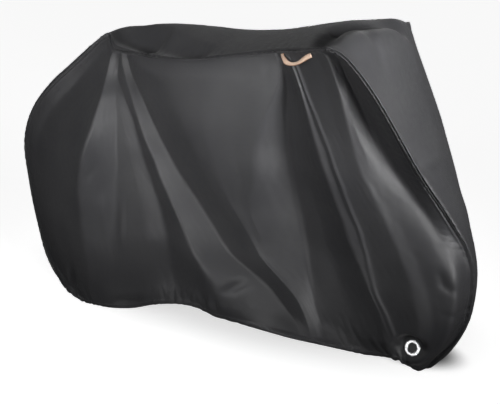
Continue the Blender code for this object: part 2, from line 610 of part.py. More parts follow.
def build_loop(near, finish, home):
    """The webbing loop: a flat strap swept along its route, its ends flat on the near panel."""
    table = np.array([tuple(point) for point in LOOP_ROUTE])
    shares = np.linspace(0.0, 1.0, LOOP_STEPS + 1)
    along = smooth_path(table[:, :3], shares)
    tilt = np.radians(even_read(shares, np.linspace(0.0, 1.0, len(table)), table[:, 3])[:, 0])
    cloth = near.surface(np.linspace(LOOP_FOLD, len(FOLDS_NEAR) - 1.0, LOOP_SEEN_COLUMNS),
                         np.linspace(0.0, LOOP_SEEN_DOWN, LOOP_SEEN_ROWS))
    normals = unit(np.cross(np.gradient(cloth, axis=1), np.gradient(cloth, axis=0)))
    normals *= np.sign(normals[..., 1:2]) * NEAR
    cloth = cloth.reshape(-1, 3)
    normals = normals.reshape(-1, 3)
    outward = np.empty_like(along)
    route = np.empty_like(along)
    for index, (x, height, stand_off) in enumerate(along):
        closest = np.argmin(np.hypot(cloth[:, 0] - x, cloth[:, 2] + HOLD_HEIGHT - height))
        lying = fade(stand_off, 0.0, LOOP_FREE)
        outward[index] = unit(lying * normals[closest] + (1.0 - lying) * np.array([0.0, NEAR, 0.0]))
        route[index] = cloth[closest] + outward[index] * (stand_off + LOOP_THICK / 2.0)
    for _ in range(LOOP_SMOOTHING):
        route[1:-1] = (route[:-2] + 2.0 * route[1:-1] + route[2:]) / 4.0
    forward = unit(np.gradient(route, axis=0))
    flat = unit(np.cross(forward, outward))
    outward = unit(np.cross(flat, forward))
    flat, outward = (flat * np.cos(tilt)[:, None] + outward * np.sin(tilt)[:, None],
                     outward * np.cos(tilt)[:, None] - flat * np.sin(tilt)[:, None])
    half = LOOP_WIDTH / 2.0
    thin = LOOP_THICK / 2.0
    round_off = thin * LOOP_ROUNDING
    section = [(-half, -thin + round_off), (-half + round_off, -thin), (half - round_off, -thin),
               (half, -thin + round_off), (half, thin - round_off), (half - round_off, thin),
               (-half + round_off, thin), (-half, thin - round_off)]
    made = bmesh.new()
    rings = [[made.verts.new(route[i] + flat[i] * across + outward[i] * out) for across, out in section]
             for i in range(len(route))]
    for ring, following in zip(rings, rings[1:]):
        for corner in range(len(section)):
            beside = (corner + 1) % len(section)
            made.faces.new((ring[corner], ring[beside], following[beside], following[corner]))
    made.faces.new(rings[0])
    made.faces.new(rings[-1])
    bmesh.ops.recalc_face_normals(made, faces=made.faces)
    mesh = bpy.data.meshes.new("hanging_loop")
    made.to_mesh(mesh)
    made.free()
    add_object("hanging_loop", mesh, finish, home)


def main():
    """Clear the scene and build every piece."""
    for item in list(bpy.data.objects):
        bpy.data.objects.remove(item)
    home = collection(NAME)
    cutters = collection("cutters")
    cloth = material("coated_cloth", (0.045, 0.045, 0.050), 0.50)
    metal = material("eyelet_metal", (0.78, 0.78, 0.80), 0.28, 1.0)
    webbing = material("loop_webbing", (0.78, 0.50, 0.34), 0.75)
    near = SidePanel(NEAR, FRONT_SEAM_NEAR, FOLDS_NEAR, STRIP_FOLD_NEAR)
    far = SidePanel(FAR, FRONT_SEAM_FAR, FOLDS_FAR, STRIP_FOLD_FAR)
    build_side(near, "near", 1, cloth, home, cutters)
    build_side(far, "far", FAR_STEP, cloth, home, cutters)
    build_centre(near, cloth, home)
    for side, label in ((NEAR, "near"), (FAR, "far")):
        build_eyelet(side, label, metal, home)
    build_loop(near, webbing, home)


main()
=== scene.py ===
"""Bicycle cover in charcoal coated cloth, dressed over its frame: panels, hem, stitching, eyelets and loop.

Lengths are metres in the frame's own axes: +X towards the front wheel, -Y the near side, +Z up, origin at
the holding point under the top. Tables give heights above the ground, as the cover's maker would.
"""
import logging
from dataclasses import dataclass
from enum import Enum
from math import pi, radians
from typing import Iterable, NamedTuple, Optional, Sequence

import bmesh
import bpy
import numpy as np
from mathutils import Matrix, Vector


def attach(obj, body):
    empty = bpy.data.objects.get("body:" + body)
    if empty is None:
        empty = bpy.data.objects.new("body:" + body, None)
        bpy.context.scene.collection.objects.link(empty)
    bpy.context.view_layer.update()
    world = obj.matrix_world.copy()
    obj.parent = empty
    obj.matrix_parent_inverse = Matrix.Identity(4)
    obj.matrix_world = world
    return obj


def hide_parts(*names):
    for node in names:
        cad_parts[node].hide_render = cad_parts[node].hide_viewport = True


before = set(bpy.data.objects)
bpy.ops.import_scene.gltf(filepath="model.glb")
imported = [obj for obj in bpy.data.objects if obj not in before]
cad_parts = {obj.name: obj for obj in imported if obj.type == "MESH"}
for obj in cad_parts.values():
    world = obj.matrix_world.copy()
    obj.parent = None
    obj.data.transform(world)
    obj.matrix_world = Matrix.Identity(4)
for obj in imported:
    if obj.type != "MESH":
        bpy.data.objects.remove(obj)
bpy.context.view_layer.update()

LOG = logging.getLogger("bicycle_cover")

HOLD_HEIGHT = 1.050          # ground to the frame's origin
CLOTH = 0.0012               # thickness shown for the cloth

Line = tuple[np.ndarray, np.ndarray]    # points along a line and the outward normals there


class Side(Enum):
    """The two sides of the cover, by the sign of Y."""

    NEAR = -1.0
    FAR = 1.0

    @property
    def label(self) -> str:
        """The side's name in lower case."""
        return self.name.lower()

    @property
    def outward(self) -> np.ndarray:
        """Direction straight out of the side."""
        return np.array([0.0, self.value, 0.0])


class Border(Enum):
    """The four borders of a side panel."""

    TOP = "top"
    REAR = "rear"
    FRONT = "front"
    HEM = "hem"


class Stretch(Enum):
    """The three stretches of the centre panel."""

    REAR = "rear"
    TOP = "top"
    FRONT = "front"


# ---- tables: seams and hem, crown line, folds ----

class Edge(NamedTuple):
    """A point on a seam or on the hem: side view place, half width from the middle plane."""

    x: float
    half_width: float
    height: float


class Crown(NamedTuple):
    """A point on the crown line, the middle of the centre panel."""

    x: float
    height: float


class Fold(NamedTuple):
    """A fold line of a side panel.

    Its hem shares stand at even levels from the top seam to the hem, its half widths at OUT_LEVELS;
    cells is how many the mesh has from it to the next fold.
    """

    name: str
    cells: int
    shares: tuple[float, ...]
    outs: tuple[float, ...]


class Spread(NamedTuple):
    """How shares of the hem bunch up along the top seam."""

    hem_share: float
    seam_share: float


class Arch(NamedTuple):
    """How full the centre panel arches at a share of a stretch: 1 is a ridge, 2 an arc."""

    share: float
    power: float


class Dent(NamedTuple):
    """A soft trough (rise below 0) or swell across the top, between two points of the plan."""

    x_from: float
    y_from: float
    x_to: float
    y_to: float
    radius: float
    rise: float


class Crease(NamedTuple):
    """A small fold between two points; it sinks where rise is below 0.

    The points are x and height on a side panel, and x, y and height on the centre panel.
    """

    start: tuple[float, ...]
    end: tuple[float, ...]
    radius: float
    rise: float


class LoopPoint(NamedTuple):
    """A point of the webbing loop's route."""

    x: float
    height: float
    stand_off: float
    tilt_deg: float


REAR_SEAM = (
    Edge(-0.364, 0.075, 1.027), Edge(-0.412, 0.070, 1.005), Edge(-0.460, 0.070, 0.970),
    Edge(-0.561, 0.070, 0.897), Edge(-0.659, 0.080, 0.820), Edge(-0.747, 0.080, 0.736),
    Edge(-0.787, 0.080, 0.677), Edge(-0.819, 0.080, 0.595), Edge(-0.808, 0.090, 0.439),
    Edge(-0.778, 0.100, 0.282), Edge(-0.719, 0.115, 0.122), Edge(-0.682, 0.120, 0.077),
    Edge(-0.659, 0.120, 0.048),
)
TOP_SEAM = (
    Edge(-0.364, 0.075, 1.027), Edge(-0.346, 0.090, 1.001), Edge(-0.330, 0.098, 0.986),
    Edge(-0.295, 0.108, 0.981), Edge(-0.242, 0.120, 0.979), Edge(-0.142, 0.145, 0.977),
    Edge(-0.068, 0.165, 0.981), Edge(0.078, 0.190, 0.996), Edge(0.220, 0.200, 1.022),
    Edge(0.351, 0.220, 1.048), Edge(0.431, 0.250, 1.062), Edge(0.525, 0.290, 1.079),
)
FRONT_SEAM_NEAR = (
    Edge(0.525, 0.290, 1.079), Edge(0.549, 0.290, 1.074), Edge(0.573, 0.288, 1.061),
    Edge(0.595, 0.283, 1.039), Edge(0.637, 0.265, 0.982), Edge(0.676, 0.240, 0.912),
    Edge(0.711, 0.205, 0.834), Edge(0.756, 0.160, 0.738), Edge(0.792, 0.130, 0.674),
    Edge(0.829, 0.095, 0.601), Edge(0.860, 0.065, 0.532), Edge(0.874, 0.050, 0.480),
    Edge(0.877, 0.038, 0.420), Edge(0.875, 0.035, 0.350), Edge(0.866, 0.035, 0.285),
    Edge(0.840, 0.038, 0.222), Edge(0.802, 0.045, 0.165), Edge(0.777, 0.052, 0.124),
)
FRONT_SEAM_FAR = (
    Edge(0.525, 0.290, 1.082), Edge(0.533, 0.287, 1.058), Edge(0.547, 0.280, 1.030),
    Edge(0.566, 0.270, 0.996), Edge(0.598, 0.255, 0.941), Edge(0.634, 0.240, 0.877),
    Edge(0.665, 0.225, 0.822), Edge(0.701, 0.200, 0.755), Edge(0.744, 0.165, 0.678),
    Edge(0.771, 0.140, 0.628), Edge(0.803, 0.110, 0.581), Edge(0.828, 0.080, 0.534),
    Edge(0.852, 0.052, 0.488), Edge(0.868, 0.037, 0.437), Edge(0.873, 0.033, 0.392),
    Edge(0.873, 0.032, 0.344), Edge(0.866, 0.033, 0.285), Edge(0.840, 0.038, 0.222),
    Edge(0.802, 0.045, 0.165), Edge(0.777, 0.052, 0.124),
)
HEM = (
    Edge(-0.659, 0.120, 0.048), Edge(-0.609, 0.140, 0.036), Edge(-0.543, 0.155, 0.027),
    Edge(-0.422, 0.165, 0.037), Edge(-0.345, 0.168, 0.052), Edge(-0.242, 0.175, 0.086),
    Edge(-0.164, 0.185, 0.125), Edge(-0.089, 0.195, 0.156), Edge(0.003, 0.205, 0.184),
    Edge(0.067, 0.210, 0.190), Edge(0.126, 0.210, 0.178), Edge(0.184, 0.210, 0.181),
    Edge(0.261, 0.215, 0.186), Edge(0.336, 0.215, 0.188), Edge(0.404, 0.210, 0.187),
    Edge(0.473, 0.190, 0.181), Edge(0.555, 0.170, 0.176), Edge(0.628, 0.155, 0.174),
    Edge(0.685, 0.145, 0.180), Edge(0.722, 0.136, 0.174), Edge(0.748, 0.120, 0.155),
    Edge(0.768, 0.098, 0.135), Edge(0.777, 0.052, 0.124),
)
REAR_CROWN = (
    Crown(-0.690, 0.052), Crown(-0.745, 0.130), Crown(-0.800, 0.285), Crown(-0.838, 0.440),
    Crown(-0.852, 0.595), Crown(-0.822, 0.690), Crown(-0.772, 0.765), Crown(-0.690, 0.838),
    Crown(-0.590, 0.910), Crown(-0.500, 0.972), Crown(-0.440, 1.010), Crown(-0.395, 1.030),
)
TOP_CROWN = (
    Crown(-0.395, 1.030), Crown(-0.350, 1.047), Crown(-0.280, 1.053), Crown(-0.212, 1.059),
    Crown(-0.092, 1.066), Crown(-0.015, 1.065), Crown(0.148, 1.064), Crown(0.230, 1.071),
    Crown(0.299, 1.083), Crown(0.380, 1.098), Crown(0.455, 1.112), Crown(0.528, 1.118),
)
FRONT_CROWN = (
    Crown(0.528, 1.118), Crown(0.555, 1.110), Crown(0.583, 1.078), Crown(0.615, 1.015),
    Crown(0.655, 0.935), Crown(0.705, 0.838), Crown(0.757, 0.742), Crown(0.800, 0.660),
    Crown(0.838, 0.583), Crown(0.864, 0.511), Crown(0.876, 0.450), Crown(0.882, 0.400),
    Crown(0.883, 0.357), Crown(0.876, 0.291), Crown(0.862, 0.236), Crown(0.823, 0.154),
    Crown(0.787, 0.108),
)
OUT_LEVELS = (0.10, 0.25, 0.50, 0.75, 0.93)
FOLDS_NEAR = (
    Fold("rear seam", 16, (0.0,) * 9,
         (0.070, 0.070, 0.083, 0.098, 0.114)),
    Fold("rear hollow", 20, (0.050, 0.056, 0.064, 0.062, 0.062, 0.048, 0.037, 0.035, 0.088),
         (0.080, 0.080, 0.108, 0.124, 0.128)),
    Fold("rear crest", 22, (0.100, 0.224, 0.312, 0.340, 0.311, 0.259, 0.225, 0.191, 0.131),
         (0.114, 0.168, 0.228, 0.210, 0.178)),
    Fold("rear face", 16, (0.160, 0.261, 0.366, 0.400, 0.392, 0.348, 0.304, 0.267, 0.219),
         (0.107, 0.134, 0.161, 0.180, 0.174)),
    Fold("rear ply", 12, (0.185, 0.267, 0.381, 0.428, 0.438, 0.424, 0.409, 0.392, 0.377),
         (0.105, 0.134, 0.161, 0.184, 0.182)),
    Fold("stripe", 12, (0.210, 0.289, 0.415, 0.469, 0.477, 0.467, 0.460, 0.445, 0.431),
         (0.101, 0.131, 0.155, 0.175, 0.178)),
    Fold("band crest", 20, (0.260, 0.383, 0.464, 0.500, 0.519, 0.520, 0.535, 0.554, 0.536),
         (0.120, 0.146, 0.174, 0.212, 0.226)),
    Fold("band foot", 18, (0.370, 0.428, 0.499, 0.532, 0.544, 0.552, 0.569, 0.643, 0.737),
         (0.112, 0.132, 0.138, 0.148, 0.172)),
    Fold("middle", 26, (0.500, 0.560, 0.572, 0.581, 0.591, 0.597, 0.616, 0.696, 0.755),
         (0.172, 0.196, 0.188, 0.170, 0.180)),
    Fold("loop crest", 22, (0.720, 0.694, 0.654, 0.639, 0.630, 0.613, 0.622, 0.702, 0.764),
         (0.210, 0.204, 0.187, 0.163, 0.170)),
    Fold("loop trough", 14, (0.735, 0.711, 0.690, 0.684, 0.680, 0.674, 0.687, 0.718, 0.784),
         (0.200, 0.160, 0.112, 0.111, 0.149)),
    Fold("trough floor", 16, (0.750, 0.741, 0.731, 0.728, 0.724, 0.723, 0.745, 0.787, 0.851),
         (0.207, 0.178, 0.132, 0.126, 0.151)),
    Fold("rib", 7, (0.770, 0.771, 0.776, 0.783, 0.786, 0.785, 0.812, 0.860, 0.925),
         (0.226, 0.208, 0.178, 0.158, 0.166)),
    Fold("rib gap", 6, (0.780, 0.777, 0.785, 0.799, 0.801, 0.804, 0.818, 0.866, 0.931),
         (0.222, 0.204, 0.174, 0.156, 0.164)),
    Fold("bay", 6, (0.790, 0.783, 0.795, 0.808, 0.810, 0.810, 0.824, 0.872, 0.937),
         (0.226, 0.208, 0.178, 0.157, 0.164)),
    Fold("bay foot", 24, (0.805, 0.789, 0.801, 0.814, 0.816, 0.816, 0.830, 0.878, 0.943),
         (0.223, 0.205, 0.174, 0.151, 0.159)),
    Fold("bar crest", 10, (0.925, 0.884, 0.865, 0.859, 0.863, 0.869, 0.894, 0.919, 0.958),
         (0.252, 0.215, 0.175, 0.161, 0.144)),
    Fold("bar face", 11, (0.945, 0.890, 0.877, 0.877, 0.881, 0.891, 0.919, 0.941, 0.972),
         (0.236, 0.204, 0.159, 0.142, 0.131)),
    Fold("bar valley", 14, (0.975, 0.902, 0.897, 0.908, 0.927, 0.956, 0.977, 0.970, 0.994),
         (0.222, 0.168, 0.119, 0.121, 0.103)),
    Fold("front seam", 0, (1.0,) * 9,
         (0.272, 0.235, 0.095, 0.037, 0.045)),
)
FOLDS_FAR = (
    Fold("rear seam", 20, (0.00, 0.00, 0.00, 0.00, 0.00),
         (0.070, 0.076, 0.080, 0.097, 0.116)),
    Fold("rear crest", 20, (0.12, 0.22, 0.22, 0.19, 0.18),
         (0.113, 0.138, 0.178, 0.180, 0.173)),
    Fold("rear trough", 20, (0.24, 0.40, 0.43, 0.42, 0.44),
         (0.114, 0.132, 0.160, 0.188, 0.201)),
    Fold("band crest", 20, (0.34, 0.50, 0.52, 0.53, 0.56),
         (0.127, 0.158, 0.184, 0.208, 0.212)),
    Fold("band foot", 20, (0.52, 0.60, 0.62, 0.62, 0.66),
         (0.143, 0.176, 0.162, 0.172, 0.202)),
    Fold("bar crest", 20, (0.80, 0.80, 0.79, 0.80, 0.88),
         (0.224, 0.216, 0.170, 0.150, 0.149)),
    Fold("bar trough", 20, (0.90, 0.90, 0.90, 0.91, 0.95),
         (0.245, 0.216, 0.130, 0.110, 0.115)),
    Fold("front seam", 0, (1.00, 1.00, 1.00, 1.00, 1.00),
         (0.267, 0.231, 0.131, 0.032, 0.042)),
)
SPREAD = (
    Spread(0.0, 0.0), Spread(0.10, 0.075), Spread(0.20, 0.105), Spread(0.44, 0.150),
    Spread(0.53, 0.20), Spread(0.64, 0.72), Spread(0.76, 0.80), Spread(0.90, 0.93), Spread(1.0, 1.0),
)
ARCHES = {
    Stretch.REAR: (Arch(0.0, 2.2), Arch(0.5, 2.0), Arch(1.0, 1.8)),
    Stretch.TOP: (Arch(0.0, 1.8), Arch(0.15, 1.5), Arch(0.85, 1.5), Arch(1.0, 2.2)),
    Stretch.FRONT: (Arch(0.0, 2.2), Arch(0.4, 2.0), Arch(1.0, 2.0)),
}
DENTS = (
    Dent(-0.330, -0.035, -0.170, -0.085, 0.070, -0.045),
    Dent(-0.170, -0.085, 0.060, -0.165, 0.055, -0.026),
    Dent(0.540, 0.090, 0.484, -0.090, 0.078, -0.040),
    Dent(0.596, 0.110, 0.600, -0.120, 0.042, 0.030),
    Dent(0.480, -0.080, 0.468, -0.140, 0.050, -0.026),
    Dent(0.468, -0.140, 0.490, -0.245, 0.045, -0.028),
    Dent(0.550, -0.225, 0.572, -0.180, 0.055, 0.012),
)
LOOP_ROUTE = (
    LoopPoint(0.366, 1.0450, 0.0008, 0.0), LoopPoint(0.369, 1.0375, 0.0040, 10.0),
    LoopPoint(0.381, 1.0290, 0.0130, 38.0), LoopPoint(0.403, 1.0240, 0.0190, 52.0),
    LoopPoint(0.425, 1.0290, 0.0180, 48.0), LoopPoint(0.441, 1.0395, 0.0110, 30.0),
    LoopPoint(0.454, 1.0490, 0.0056, 10.0), LoopPoint(0.467, 1.0560, 0.0026, 0.0),
)
CREASES_NEAR = (
    Crease((0.531, 1.047), (0.548, 0.990), 0.006, 0.0030),
    Crease((0.548, 0.990), (0.555, 0.915), 0.006, 0.0030),
    Crease((0.808, 0.485), (0.828, 0.446), 0.011, -0.0050),
    Crease((0.828, 0.446), (0.854, 0.428), 0.011, -0.0050),
    Crease((0.819, 0.437), (0.822, 0.456), 0.010, -0.0035),
    Crease((0.829, 0.359), (0.878, 0.352), 0.010, -0.0030),
    Crease((-0.539, 0.179), (-0.566, 0.055), 0.014, -0.0120),
    Crease((-0.583, 0.149), (-0.597, 0.045), 0.012, 0.0080),
    Crease((-0.338, 0.085), (-0.218, 0.123), 0.014, -0.0100),
    Crease((0.083, 0.245), (0.106, 0.199), 0.012, -0.0110),
    Crease((0.131, 0.250), (0.136, 0.199), 0.012, -0.0110),
    Crease((0.108, 0.235), (0.121, 0.195), 0.011, 0.0080),
    Crease((0.173, 0.283), (0.223, 0.320), 0.014, -0.0100),
    Crease((0.210, 0.970), (0.269, 0.982), 0.012, -0.0018),
    Crease((-0.396, 0.545), (-0.365, 0.600), 0.014, -0.0035),
    Crease((-0.343, 0.491), (-0.348, 0.366), 0.012, 0.0025),
    Crease((-0.276, 0.482), (-0.274, 0.307), 0.012, 0.0025),
)
CREASES_CENTRE = (
    Crease((0.719, -0.174, 0.819), (0.736, -0.167, 0.785), 0.011, -0.0035),
    Crease((0.729, -0.151, 0.801), (0.747, -0.147, 0.762), 0.011, -0.0035),
    Crease((0.741, -0.134, 0.777), (0.766, -0.117, 0.730), 0.011, -0.0035),
    Crease((0.745, -0.150, 0.772), (0.740, -0.010, 0.760), 0.014, -0.0075),
    Crease((0.740, -0.010, 0.760), (0.735, 0.126, 0.728), 0.014, -0.0065),
    Crease((-0.375, -0.045, 1.035), (-0.420, -0.050, 1.010), 0.014, -0.0060),
    Crease((-0.405, -0.060, 1.012), (-0.440, -0.058, 0.985), 0.014, -0.0050),
)

CREASE_END = 0.35                # share of its height that a crease has at its two ends


# ---- reading the tables ----

def through_rows(shares: np.ndarray, stations: np.ndarray, values: np.ndarray, slopes: np.ndarray,
                 inner: np.ndarray) -> np.ndarray:
    """A smooth curve through rows of values.

    Args:
        shares: where to read it.
        stations: the rows' own places, rising.
        values: the rows' values, one column or more.
        slopes: how steeply the values rise from each row to the next.
        inner: the curve's slopes at the rows between the first and the last.

    Returns:
        The values at each share, one column for each of the table's.
    """
    tangents = np.concatenate([slopes[:1], inner, slopes[-1:]])
    index = np.clip(np.searchsorted(stations, shares, side="right") - 1, 0, len(stations) - 2)
    span = (stations[index + 1] - stations[index])[..., None]
    way = (shares - stations[index])[..., None] / span
    rise = way * way * (3.0 - 2.0 * way)
    return ((1.0 - rise) * values[index] + rise * values[index + 1]
            + way * (1.0 - way) ** 2 * span * tangents[index]
            - way * way * (1.0 - way) * span * tangents[index + 1])


def smooth_path(rows: Sequence[tuple], shares: np.ndarray) -> np.ndarray:
    """Points on a smooth curve through the points of a table.

    Args:
        rows: the table's points.
        shares: shares of the curve's length from 0 to 1.

    Returns:
        One point for each share.
    """
    points = np.asarray([tuple(row) for row in rows], float)
    chords = np.linalg.norm(np.diff(points, axis=0), axis=1)
    stations = np.concatenate([[0.0], np.cumsum(chords)]) / chords.sum()
    steps = np.diff(stations)[:, None]
    slopes = np.diff(points, axis=0) / steps
    inner = (slopes[:-1] * steps[1:] + slopes[1:] * steps[:-1]) / (steps[:-1] + steps[1:])
    return through_rows(np.asarray(shares, float), stations, points, slopes, inner)


def even_read(shares: np.ndarray, stations: Sequence[float], values: Sequence) -> np.ndarray:
    """Read a table so that the curve never overshoots its rows.

    Args:
        shares: where to read.
        stations: the rows' own places, rising.
        values: one or more columns of values.

    Returns:
        Values at each share, one column each.
    """
    stations = np.asarray(stations, float)
    values = np.asarray(values, float).reshape(len(stations), -1)
    slopes = np.diff(values, axis=0) / np.diff(stations)[:, None]
    before = slopes[:-1]
    after = slopes[1:]
    same_way = before * after > 0.0
    total = np.where(same_way, before + after, 1.0)
    inner = np.where(same_way, 2.0 * before * after / total, 0.0)
    shares = np.clip(np.asarray(shares, float), stations[0], stations[-1])
    return through_rows(shares, stations, values, slopes, inner)


def fade(distance: np.ndarray, full: float, gone: float) -> np.ndarray:
    """A weight that falls smoothly with distance.

    Args:
        distance: how far away each place is.
        full: the weight is 1 out to here.
        gone: the weight is 0 from here on.

    Returns:
        The weight at each place.
    """
    way = np.clip((distance - full) / (gone - full), 0.0, 1.0)
    return 1.0 - way * way * (3.0 - 2.0 * way)


def unit(vectors: np.ndarray) -> np.ndarray:
    """Vectors at length 1."""
    return vectors / np.maximum(np.linalg.norm(vectors, axis=-1, keepdims=True), 1e-12)


def placed(points: np.ndarray, side: Side) -> np.ndarray:
    """Table points (x, half width, height) as points of the frame on one side."""
    return np.stack([points[..., 0], side.value * points[..., 1], points[..., 2] - HOLD_HEIGHT], axis=-1)


class Ripple(NamedTuple):
    """Smooth irregular waves in the cloth."""

    height: float
    length: float                  # usual wave length along the first coordinate
    cross_length: float            # and along the second
    waves: int                     # how many plane waves are added

    def over(self, first: np.ndarray, second: np.ndarray, seed: int) -> np.ndarray:
        """The waves over two coordinates.

        Args:
            first: metres along the first coordinate.
            second: metres along the second.
            seed: fixes the pattern.

        Returns:
            The height of the cloth at each place.
        """
        chance = np.random.default_rng(seed)
        total = np.zeros(np.broadcast(first, second).shape)
        for _ in range(self.waves):
            along = chance.uniform(0.6, 1.5) / self.length
            across = chance.normal(0.0, 1.0) / self.cross_length
            total += np.cos(2.0 * pi * (along * first + across * second) + chance.uniform(0.0, 2.0 * pi))
        return self.height * total / np.sqrt(self.waves)


def apart(places: np.ndarray, start: Sequence[float], end: Sequence[float]) -> tuple[np.ndarray, np.ndarray]:
    """How places lie to the straight line between two points.

    Args:
        places: the places.
        start: one end of the line.
        end: the other end.

    Returns:
        The distance of each place from the line, and the share of the line where it is nearest.
    """
    start = np.array(start)
    reach = np.array(end) - start
    off = places - start
    way = np.clip((off @ reach) / (reach @ reach), 0.0, 1.0)
    return np.linalg.norm(off - way[..., None] * reach, axis=-1), way


def grid_normals(points: np.ndarray, outward: np.ndarray) -> np.ndarray:
    """Unit normals of a grid of points.

    Args:
        points: the grid.
        outward: a direction on the normals' side, one for all points or one each.

    Returns:
        One normal for each point.
    """
    normals = unit(np.cross(np.gradient(points, axis=0), np.gradient(points, axis=1)))
    if np.sum(normals * outward) < 0.0:
        normals = -normals
    return normals


def run_from(points: np.ndarray, axis: int, last: bool = False) -> np.ndarray:
    """Metres along one axis of a grid from its first line to each point.

    Args:
        points: the grid.
        axis: 0 or 1.
        last: measure from the last line instead.

    Returns:
        The run to each point.
    """
    steps = np.linalg.norm(np.diff(points, axis=axis), axis=-1)
    if last:
        steps = np.flip(steps, axis=axis)
    zero = np.zeros_like(np.take(steps, [0], axis=axis))
    run = np.cumsum(np.concatenate([zero, steps], axis=axis), axis=axis)
    return np.flip(run, axis=axis) if last else run


def smoothed(points: np.ndarray, rounds: int) -> np.ndarray:
    """A grid with its folds eased along the first axis.

    Args:
        points: the grid.
        rounds: how often each line is averaged with its two neighbours.

    Returns:
        The eased grid, its first and last lines as they were.
    """
    eased = points.copy()
    for _ in range(rounds):
        eased[1:-1] = 0.25 * eased[:-2] + 0.5 * eased[1:-1] + 0.25 * eased[2:]
    return eased


# ---- meshes ----

def put_in_scene(name: str, data: bpy.types.ID) -> bpy.types.Object:
    """A new object of the scene, at the origin.

    Args:
        name: its name.
        data: its mesh, curve, lamp or camera.

    Returns:
        The object.
    """
    made = bpy.data.objects.new(name, data)
    bpy.context.scene.collection.objects.link(made)
    return made


def plain_mesh(made: bpy.types.Object) -> bpy.types.Mesh:
    """What an object's modifiers make, as a mesh of its own."""
    return bpy.data.meshes.new_from_object(made.evaluated_get(bpy.context.evaluated_depsgraph_get()))


def finished_mesh(name: str, build: bmesh.types.BMesh, sharp_deg: float,
                  finish: bpy.types.Material) -> bpy.types.Object:
    """A piece from a closed mesh that is still being edited.

    Args:
        name: the piece's name.
        build: the mesh, which is used up.
        sharp_deg: edges that turn by more than this stay sharp.
        finish: the piece's material.

    Returns:
        The piece, smooth, with its faces outward.
    """
    bmesh.ops.recalc_face_normals(build, faces=build.faces)
    mesh = bpy.data.meshes.new(name)
    build.to_mesh(mesh)
    build.free()
    mesh.shade_smooth()
    mesh.set_sharp_from_angle(angle=radians(sharp_deg))
    mesh.materials.append(finish)
    return put_in_scene(name, mesh)


def sheet_of_quads(name: str, points: np.ndarray, uv: np.ndarray, outward: Sequence[float],
                   finish: bpy.types.Material, left_out: Optional[np.ndarray] = None) -> bpy.types.Object:
    """A closed sheet of cloth whose outer face runs through a grid of points.

    Args:
        name: the piece's name.
        points: columns by rows of points.
        uv: cloth coordinates in metres for each point.
        outward: a direction that the faces look along on the whole.
        finish: the cloth's material.
        left_out: True for each cell that is a hole.

    Returns:
        The piece, with its thickness on its inner side and no loose points.
    """
    columns, rows = points.shape[:2]
    numbers = np.arange(columns * rows).reshape(columns, rows)
    quads = np.stack([numbers[:-1, :-1], numbers[:-1, 1:], numbers[1:, 1:], numbers[1:, :-1]], axis=-1)
    cells = quads.reshape(-1, 4) if left_out is None else quads[~left_out]
    corner = points.reshape(-1, 3)
    facing = np.cross(corner[cells[:, 2]] - corner[cells[:, 0]], corner[cells[:, 3]] - corner[cells[:, 1]])
    if np.sum(facing @ np.asarray(outward)) < 0.0:
        cells = cells[:, ::-1]
    mesh = bpy.data.meshes.new(name)
    mesh.from_pydata(corner.tolist(), [], cells.tolist())
    layer = mesh.uv_layers.new(name="cloth")
    order = np.empty(len(mesh.loops), dtype=np.int32)
    mesh.loops.foreach_get("vertex_index", order)
    layer.data.foreach_set("uv", uv.reshape(-1, 2)[order].astype(np.float32).ravel())
    mesh.shade_smooth()
    mesh.materials.append(finish)
    piece = put_in_scene(name, mesh)
    shell = piece.modifiers.new("thickness", "SOLIDIFY")
    shell.thickness = CLOTH
    shell.offset = -1.0
    closed = plain_mesh(piece)
    closed.name = name
    piece.modifiers.clear()
    piece.data = closed
    build = bmesh.new()
    build.from_mesh(closed)
    bmesh.ops.delete(build, geom=[v for v in build.verts if not v.link_faces], context="VERTS")
    build.to_mesh(closed)
    build.free()
    return piece


def ride(piece: bpy.types.Object, slot: str, *nodes: str) -> bpy.types.Object:
    """Fix a finished piece to the frame.

    Args:
        piece: the piece.
        slot: not used.
        nodes: the frame's nodes that it stands for.

    Returns:
        The same piece.
    """
    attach(piece, "root")
    if nodes:
        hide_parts(*nodes)
    return piece


# ---- cloth relief shared by the panels ----

@dataclass(frozen=True)
class Gathers:
    """Puckers that run in from an edge and die away."""

    waves: Ripple
    swell: Ripple                  # how their strength changes along the edge
    usual: float                   # their usual strength, the least and the most
    weakest: float
    strongest: float
    start: float                   # distance from the edge where they begin to die away
    reach: float
    fall: float                    # above 1 they last longer and then end sooner

    def height(self, distance: np.ndarray, along: np.ndarray, seed: int) -> np.ndarray:
        """Relief of the puckers.

        Args:
            distance: metres from the edge.
            along: run along it.
            seed: fixes the puckers.

        Returns:
            The height of the cloth at each place.
        """
        swell = self.swell.over(along, np.zeros_like(along), seed + 1)
        strength = np.clip(self.usual + swell, self.weakest, self.strongest)
        away = np.exp(-(np.maximum(distance - self.start, 0.0) / self.reach) ** self.fall)
        return self.waves.over(along, distance, seed) * strength * away


class Lip(NamedTuple):
    """A low rib or, with its height below 0, a groove that runs along a seam."""

    height: float
    away: float                    # distance from the seam
    width: float


